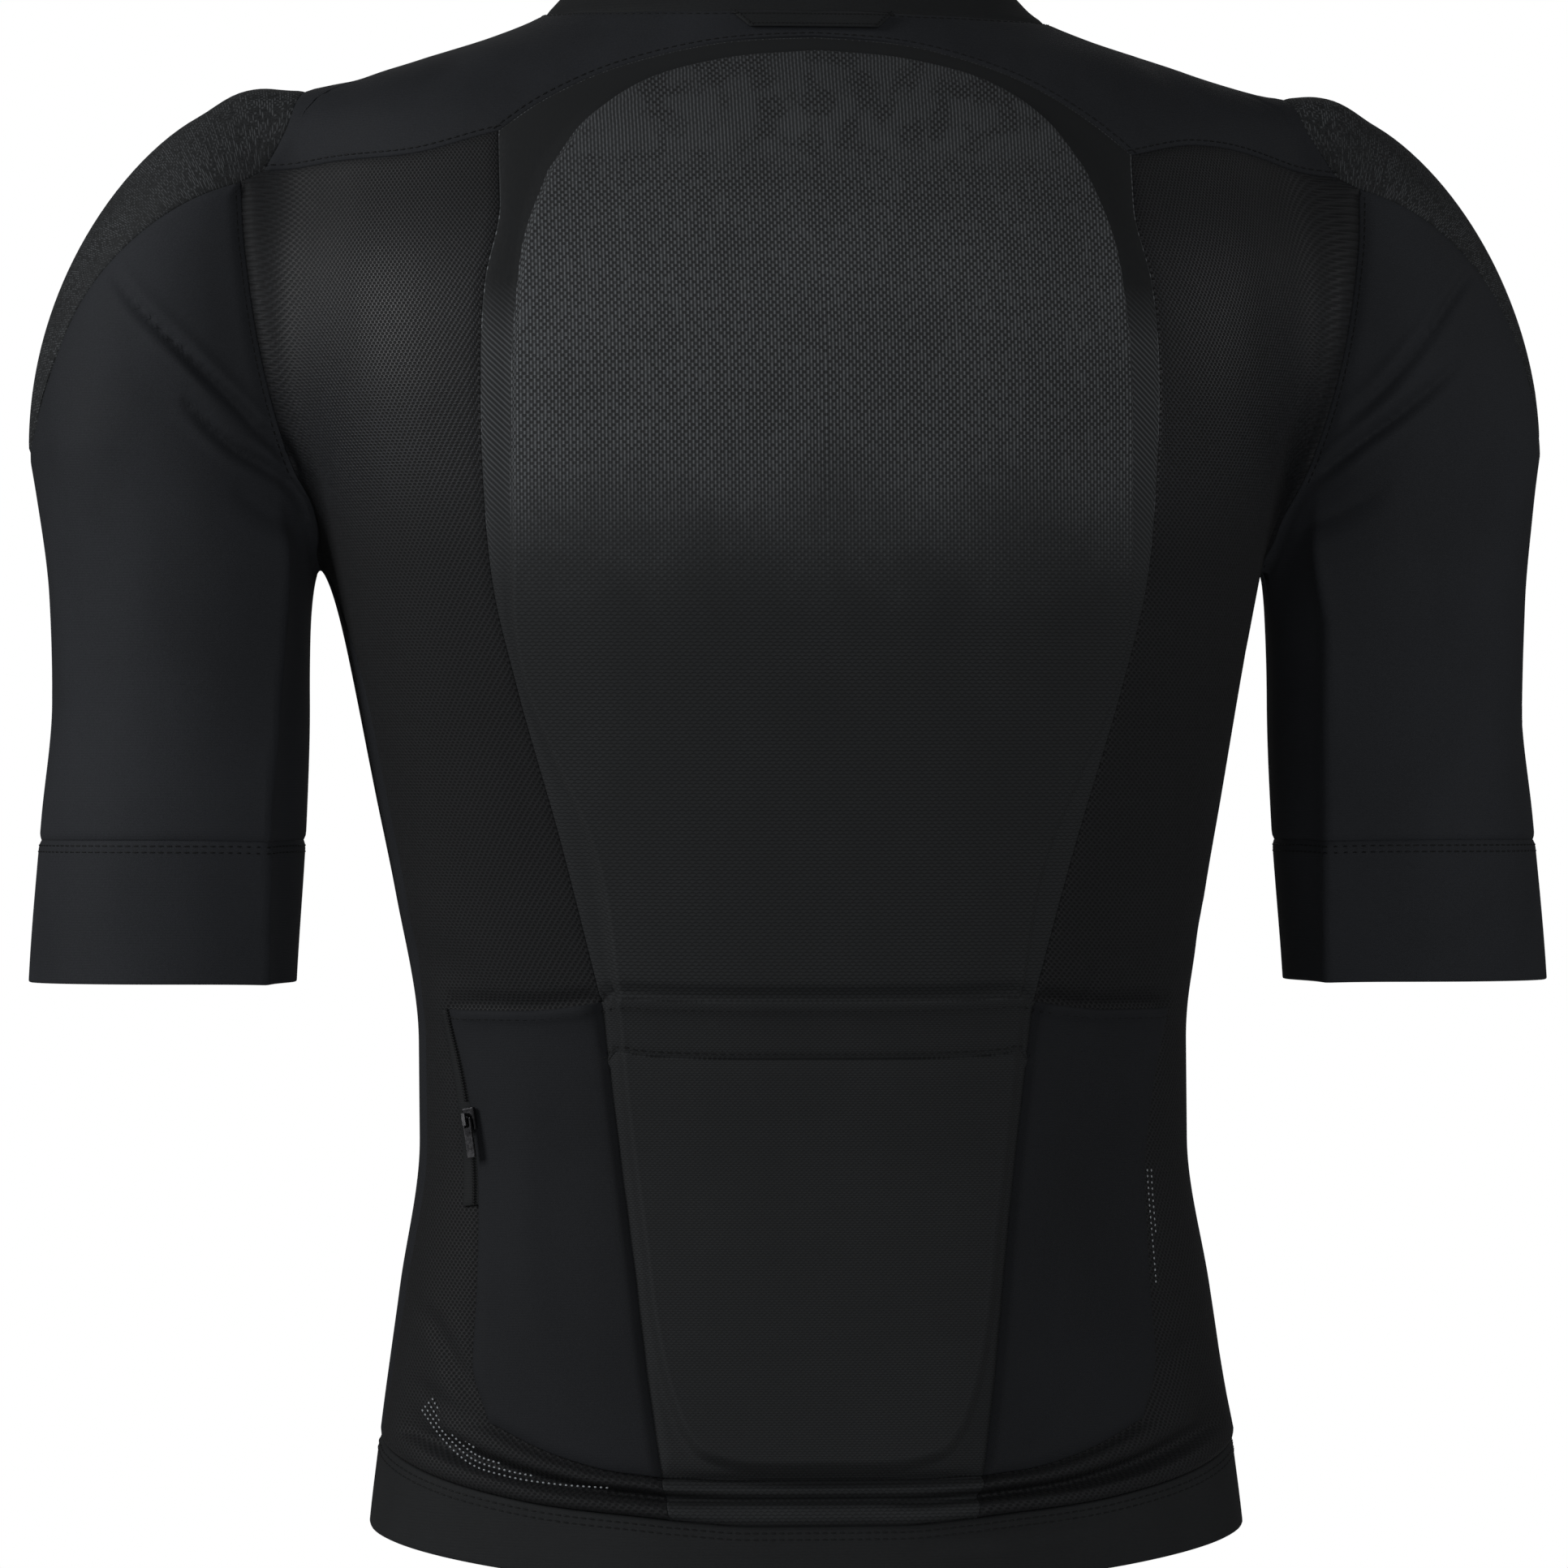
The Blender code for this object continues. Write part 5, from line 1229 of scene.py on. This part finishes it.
def arm_ring(height, side, cells, armpit=None):
    """The closed line round a sleeve at one height, from under the armpit over the back. Given the
    armpit, the line rises to it there."""
    turn = np.linspace(0, 2 * np.pi, cells + 1)
    angles = turn + SLEEVE_START
    heights = np.full(cells + 1, height * MM)
    if armpit is not None:
        heights += (armpit[2] - height * MM) * ((1 + np.cos(turn)) / 2) ** SLEEVE_RISE
    (centre_x, centre_y, width, depth), _ = by_height(ARM, heights)
    x = side * (centre_x - width * np.cos(angles))
    y = centre_y - depth * np.sin(angles)
    ring = settle(np.column_stack([x, y, heights, np.zeros_like(x)]))
    if armpit is not None:
        ring[0] = armpit
    ring[-1] = ring[0]
    return ring


def arm_edge(place):
    """The height of the edge down the back of an arm, where the cloth turns sharply away."""
    heights, *columns = np.array(ARM_EDGE, float).T
    left_x, left_y, right_x, right_y = (np.interp(place[:, 2] / MM, heights, column) for column in columns)
    x, y = np.where(place[:, 0] < 0, left_x, right_x), np.where(place[:, 0] < 0, left_y, right_y)
    far = np.hypot(place[:, 0] / MM - x, place[:, 1] / MM - y)
    far /= np.where(abs(place[:, 0] / MM) < abs(x), ARM_EDGE_INSIDE, ARM_EDGE_OUTSIDE)
    return ARM_EDGE_HEIGHT * step_up(place[:, 2] / MM, ARM_EDGE_FROM, ARM_EDGE_FULL) * np.exp(-far)


def sleeve_lines(side):
    """The lines that bound the sleeve and its cuff, finer than the other panels need."""
    cap_line = join(
        seam(CAP_BACK, CELLS["sleeve_cap"], side),
        seam(CAP_TIP, CELLS["sleeve_tip"], side),
        seam(CAP_FRONT, CELLS["sleeve_cap"], side),
    )
    back, front = (seam(rows, CELLS["sleeve_armhole"], side)[::-1] for rows in (ARMHOLE_BACK, ARMHOLE_FRONT))
    cells = len(cap_line) - 1
    armpit = arm_ring(SLEEVE_TUBE_TOP, side, cells, back[-1])
    return cap_line, back, front, armpit, arm_ring(CUFF_SEAM, side, cells), arm_ring(CUFF_EDGE, side, cells)


def make_shirt():
    """Every cloth and foam piece by its name, and what is sewn on them, by the piece that carries it."""
    seams = {name: side_seams(side) for name, side in SIDES.items()}
    left, right = seams["left"], seams["right"]
    half = CELLS["arc"] // 2
    frame, slope, face, folds = centre_back(left, right)
    band, rest, mouth, band_seam = centre_pocket(frame, slope, face)

    corners = np.cumsum((0, CELLS["shoulder"], CELLS["yoke_seam"], half))
    around_neck = tuple(np.interp(np.arange(corners[-1] + 1), corners, NECK_SHARES))
    neck_back, collar_back = (mirrored(seam, rows, around_neck) for rows in (NECK_BACK, COLLAR_BACK))
    front_half = CELLS["neck_front"] // 2
    neck_front, collar_front = (mirrored(seam, rows, front_half) for rows in (NECK_FRONT, COLLAR_FRONT))
    arc = mirrored(yoke_seam, YOKE_ARC, half)
    hem_back, hem_edge_back = (mirrored(seam, rows, half) for rows in (HEM_BACK, HEM_EDGE_BACK))
    front_top = join(
        left["jog_front"], left["shoulder"][::-1], neck_front, right["shoulder"], right["jog_front"][::-1]
    )
    front_half = (len(front_top) - 1) // 2
    hem_front, hem_edge_front = (mirrored(seam, rows, front_half) for rows in (HEM_FRONT, HEM_EDGE_FRONT))

    grooves = [(line, *PLAIN_GROOVE) for line in (neck_back, neck_front, arc, hem_back, hem_front)]
    for own in seams.values():
        grooves += [(own[key], *form) for key, form in SIDE_GROOVES.items()]
    grooves.append((mirrored(back_seam, POCKET_BOTTOM_BACK, half), *BOTTOM_GROOVE))
    grooves.append((above_mouth(mouth), *MOUTH_GROOVE))
    grooves.append((band_seam, *BAND_GROOVE))
    relief = Relief(grooves)

    looks, made = fabrics(), {}

    def panel(name, blocks, look, *sizes, **form):
        made[name] = cloth(name, blocks, looks[look], relief, *sizes, **form)

    # How far above the panels' own faces the other layers lie.
    under, on_top, on_tape, on_yoke = -(CLOTH + PAD_GAP), GAP + POCKET_CLOTH, GAP + TAPE_CLOTH, 2 * GAP + TAB_CLOTH
    # The frame's quads come first; near the top the centre knit paints shade on them.
    dense = sum((len(block) - 1) * (block.shape[1] - 1) for block in frame)
    panel("back_center", [*frame, *slope, face, folds], "centre", dense=dense)
    panel(
        "back_protector", [*slope, face], "foam", lift=under, inset=PAD_INSET,
        inner=lambda height: np.full_like(height, (under - PROTECTOR_EDGE) * MM),
    )
    panel("pocket_center_band", band, "pocket_center", POCKET_CLOTH, on_top, raised=standing_off(mouth))
    panel("pocket_center", rest, "pocket_center", POCKET_CLOTH, on_top)
    for name, own in seams.items():
        above, below, beside = back_side(own)
        panel(f"back_side_{name}", [above, below, beside], "side", unroll=round_side)
        panel(f"pocket_{name}", [below], "pocket", POCKET_CLOTH, on_top, raised=standing_off(own["pocket_top"]))
        if name == "left":
            tape = beside[: int(TAPE_SHARE * CELLS["fold"]) + 1, : ZIP_ROWS * CELLS["pocket_row"] + 1]
            panel("zip_tape", [tape], "tape", TAPE_CLOTH, on_tape)

    outer = join(left["armhole_top"], left["yoke_back"], arc, right["yoke_back"][::-1], right["armhole_top"][::-1])
    yoke = patch(outer, neck_back, left["shoulder"][::-1], right["shoulder"][::-1], side_fading=YOKE_FADING)
    panel("yoke", [yoke], "yoke")
    neck, collar_edge = join(neck_back, neck_front[::-1]), join(collar_back, collar_front[::-1])
    panel("collar", [strip(neck, collar_edge, CELLS["collar"])], "collar", COLLAR_CLOTH)
    sides = [join(own["armhole_front"][::-1], own["side"], own["side_low"]) for own in seams.values()]
    panel("front", [round_patch(front_top, hem_front, *sides)], "front")
    hem = join(left["hem_side"], hem_back, right["hem_side"][::-1], hem_front[::-1])
    hem_edge = join(left["hem_edge_side"], hem_edge_back, right["hem_edge_side"][::-1], hem_edge_front[::-1])
    panel("hem_band", [strip(hem, hem_edge, CELLS["hem"])], "hem", BAND_CLOTH)

    for name, own in seams.items():
        cap_line, back, front, armpit, cuff, cuff_edge = own["sleeve"]
        sleeve = [patch(cap_line, armpit, back, front, fading=SLEEVE_FADING), strip(armpit, cuff, CELLS["sleeve"])]
        panel(f"sleeve_{name}", sleeve, "sleeve", unroll=rolled_arm, raised=arm_edge)
        turned = [strip(cuff, cuff_edge, CELLS["cuff"])]
        panel(f"cuff_{name}", turned, "cuff", BAND_CLOTH, unroll=rolled_arm, raised=arm_edge)
        cap = patch(
            own["armhole_top"][::-1],
            own["cap_tip"],
            join(own["jog_back"][::-1], own["cap_back"]),
            join(own["jog_front"][::-1], own["cap_front"][::-1]),
            centre=(SIDES[name] * CAP_CENTRE[0], *CAP_CENTRE[1:]),
        )
        panel(f"shoulder_mesh_{name}", [cap], "cap", unroll=over_shoulder)
        rows, columns = (np.minimum(np.arange(n), n - 1 - np.arange(n)) for n in cap.shape[:2])
        rise = step_up(np.minimum(rows[:, None], columns[None, :]), 0, SHOULDER_PAD_SLOPE)
        pad = cap.copy()
        pad[..., 3] = -rise * (SHOULDER_PAD - SHOULDER_PAD_EDGE) * MM
        bottom = (under - SHOULDER_PAD_EDGE) * MM + weld(pad)[0][:, 3]
        panel(f"shoulder_pad_{name}", [cap], "foam", lift=under, inset=PAD_INSET, inner=lambda _: bottom)

    tab = strip(
        *(
            back_seam([(share * wide, level) for share in (-1, -0.5, 0, 0.5, 1)], CELLS["tab"])
            for level, wide in zip(TAB_LEVELS, (TAB_WIDTH / 2, TAB_WIDTH / 2 - TAB_SLANT))
        ),
        CELLS["tab_rows"],
    )
    panel("neck_tab", [tab], "tab", TAB_CLOTH, on_yoke)

    # The rows of stitching, by the piece that they are on, and what is particular to those of some.
    tab_edges = (tab[0], -1), (tab[-1], 1), (tab[:, 0], 1), (tab[:, -1], -1)
    rows = {
        "hem_band": [(hem, -aside, 0) for aside in HEM_STITCHES],
        "yoke": [(arc, BESIDE_SEAM, 0), (neck_back, -BESIDE_SEAM, 0)],
        "front": [(neck_front, BESIDE_SEAM, 0)],
        "pocket_center_band": [(mouth, -BELOW_BAND_MOUTH, on_top), (band_seam, BESIDE_SEAM, on_top)],
        "neck_tab": [(line, aside, on_yoke) for line, aside in tab_edges],
    }
    forms = {"pocket_center_band": {"raised": standing_off(mouth)}, "neck_tab": {"form": TAB_STITCHES}}
    for name, side in SIDES.items():
        own = seams[name]
        rows["yoke"].append((own["yoke_back"], -BESIDE_SEAM * side, 0))
        rows[f"cuff_{name}"] = [(own["cuff"], -aside * side, 0) for aside in CUFF_STITCHES]
        rows[f"pocket_{name}"] = [(own["pocket_top"], BELOW_MOUTH * side, on_top)]
        rows[f"sleeve_{name}"] = [(own["armhole_back"], -BESIDE_SEAM * side, 0)]
        forms[f"cuff_{name}"] = {"raised": arm_edge}
        forms[f"pocket_{name}"] = {"raised": standing_off(own["pocket_top"])}
    sewn = {
        name: [stitches(f"{name}_stitches", lines, looks["thread"], relief, name, **forms.get(name, {}))]
        for name, lines in rows.items()
    }
    edge = tape[1]
    order = np.argsort(edge[:, 2])
    slider = [np.interp(-SLIDER_HEIGHT * MM, edge[order, 2], edge[order, i]) for i in range(3)]
    lines = [(edge, 0, on_tape + COIL_HEIGHT)]
    coil = stitches("zip_coil", lines, looks["thread"], relief, "zip_tape", COIL, clear=(slider, COIL_CLEAR))
    sewn["zip_tape"] = [coil]
    # Rows of small bright threads on the stretched mesh: painted highlights.
    for slot, shares, points in OPEN_MESH:
        cells = CELLS["open_mesh"]
        line = seam(points, cells)
        lines = [
            (line[: int(cells * share)], OPEN_MESH_ROW * row, OPEN_MESH_LIFT) for row, share in enumerate(shares)
        ]
        painted_light_dots = stitches(f"{slot}_open_mesh", lines, looks["open_mesh"], relief, slot, OPEN_THREADS)
        sewn.setdefault(slot, []).append(painted_light_dots)
    return made, sewn


def light(name, place, target, size, power):
    lamp = bpy.data.lights.new(name, "AREA")
    lamp.shape, (lamp.size, lamp.size_y), lamp.energy = "RECTANGLE", size, power
    made = bpy.data.objects.new(name, lamp)
    made.location = place
    made.rotation_euler = (Vector(target) - Vector(place)).to_track_quat("-Z", "Y").to_euler()
    bpy.context.collection.objects.link(made)


def studio():
    angle = math.radians(CAMERA_TURN)
    right, forward = Vector((math.cos(angle), math.sin(angle), 0)), Vector((-math.sin(angle), math.cos(angle), 0))
    camera = bpy.data.objects.new("camera", bpy.data.cameras.new("camera"))
    camera.data.lens, camera.data.sensor_width = CAMERA_LENS, 36.0
    camera.data.clip_start, camera.data.clip_end = 0.05, 50.0
    camera.location = Vector((0, 0, CAMERA_HEIGHT)) - forward * CAMERA_DISTANCE - right * CAMERA_ASIDE
    camera.rotation_euler = forward.to_track_quat("-Z", "Y").to_euler()
    bpy.context.collection.objects.link(camera)
    bpy.context.scene.camera = camera

    for lamp in LIGHTS:
        light(*lamp)
    world = bpy.context.scene.world or bpy.data.worlds.new("world")
    bpy.context.scene.world = world
    world.use_nodes = True
    tree = world.node_tree
    tree.nodes.clear()
    output, mixed = tree.nodes.new("ShaderNodeOutputWorld"), tree.nodes.new("ShaderNodeMixShader")
    path = tree.nodes.new("ShaderNodeLightPath")
    for index, level in ((1, AMBIENT), (2, 1.0)):
        shade = tree.nodes.new("ShaderNodeBackground")
        shade.inputs[0].default_value = (1, 1, 1, 1)
        shade.inputs[1].default_value = level
        tree.links.new(shade.outputs[0], mixed.inputs[index])
    tree.links.new(path.outputs["Is Camera Ray"], mixed.inputs[0])
    tree.links.new(mixed.outputs[0], output.inputs[0])
    bpy.context.scene.view_settings.view_transform = "Standard"

    shape = bmesh.new()
    bmesh.ops.create_circle(shape, cap_ends=True, segments=96, radius=FLOOR_RADIUS)
    mesh = bpy.data.meshes.new("floor")
    shape.to_mesh(mesh)
    shape.free()
    floor = bpy.data.objects.new("floor", mesh)
    floor.location = (0, 0, FLOOR_HEIGHT)
    g = Graph("floor", Roughness=0.8, Specular_IOR_Level=0.2)
    g.colour(g.mix(g.noise(3.0), (0.80, 0.80, 0.80), (0.84, 0.84, 0.84)))
    mesh.materials.append(g.material)
    bpy.context.collection.objects.link(floor)


def main():
    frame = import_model()
    made, sewn = make_shirt()
    for node in ("zip_slider", "zip_pull"):
        target = frame["nodes"][node]
        look = gunmetal(node)
        if not target.material_slots:
            target.data.materials.append(look)
        for entry in target.material_slots:
            entry.material = look
    studio()


main()
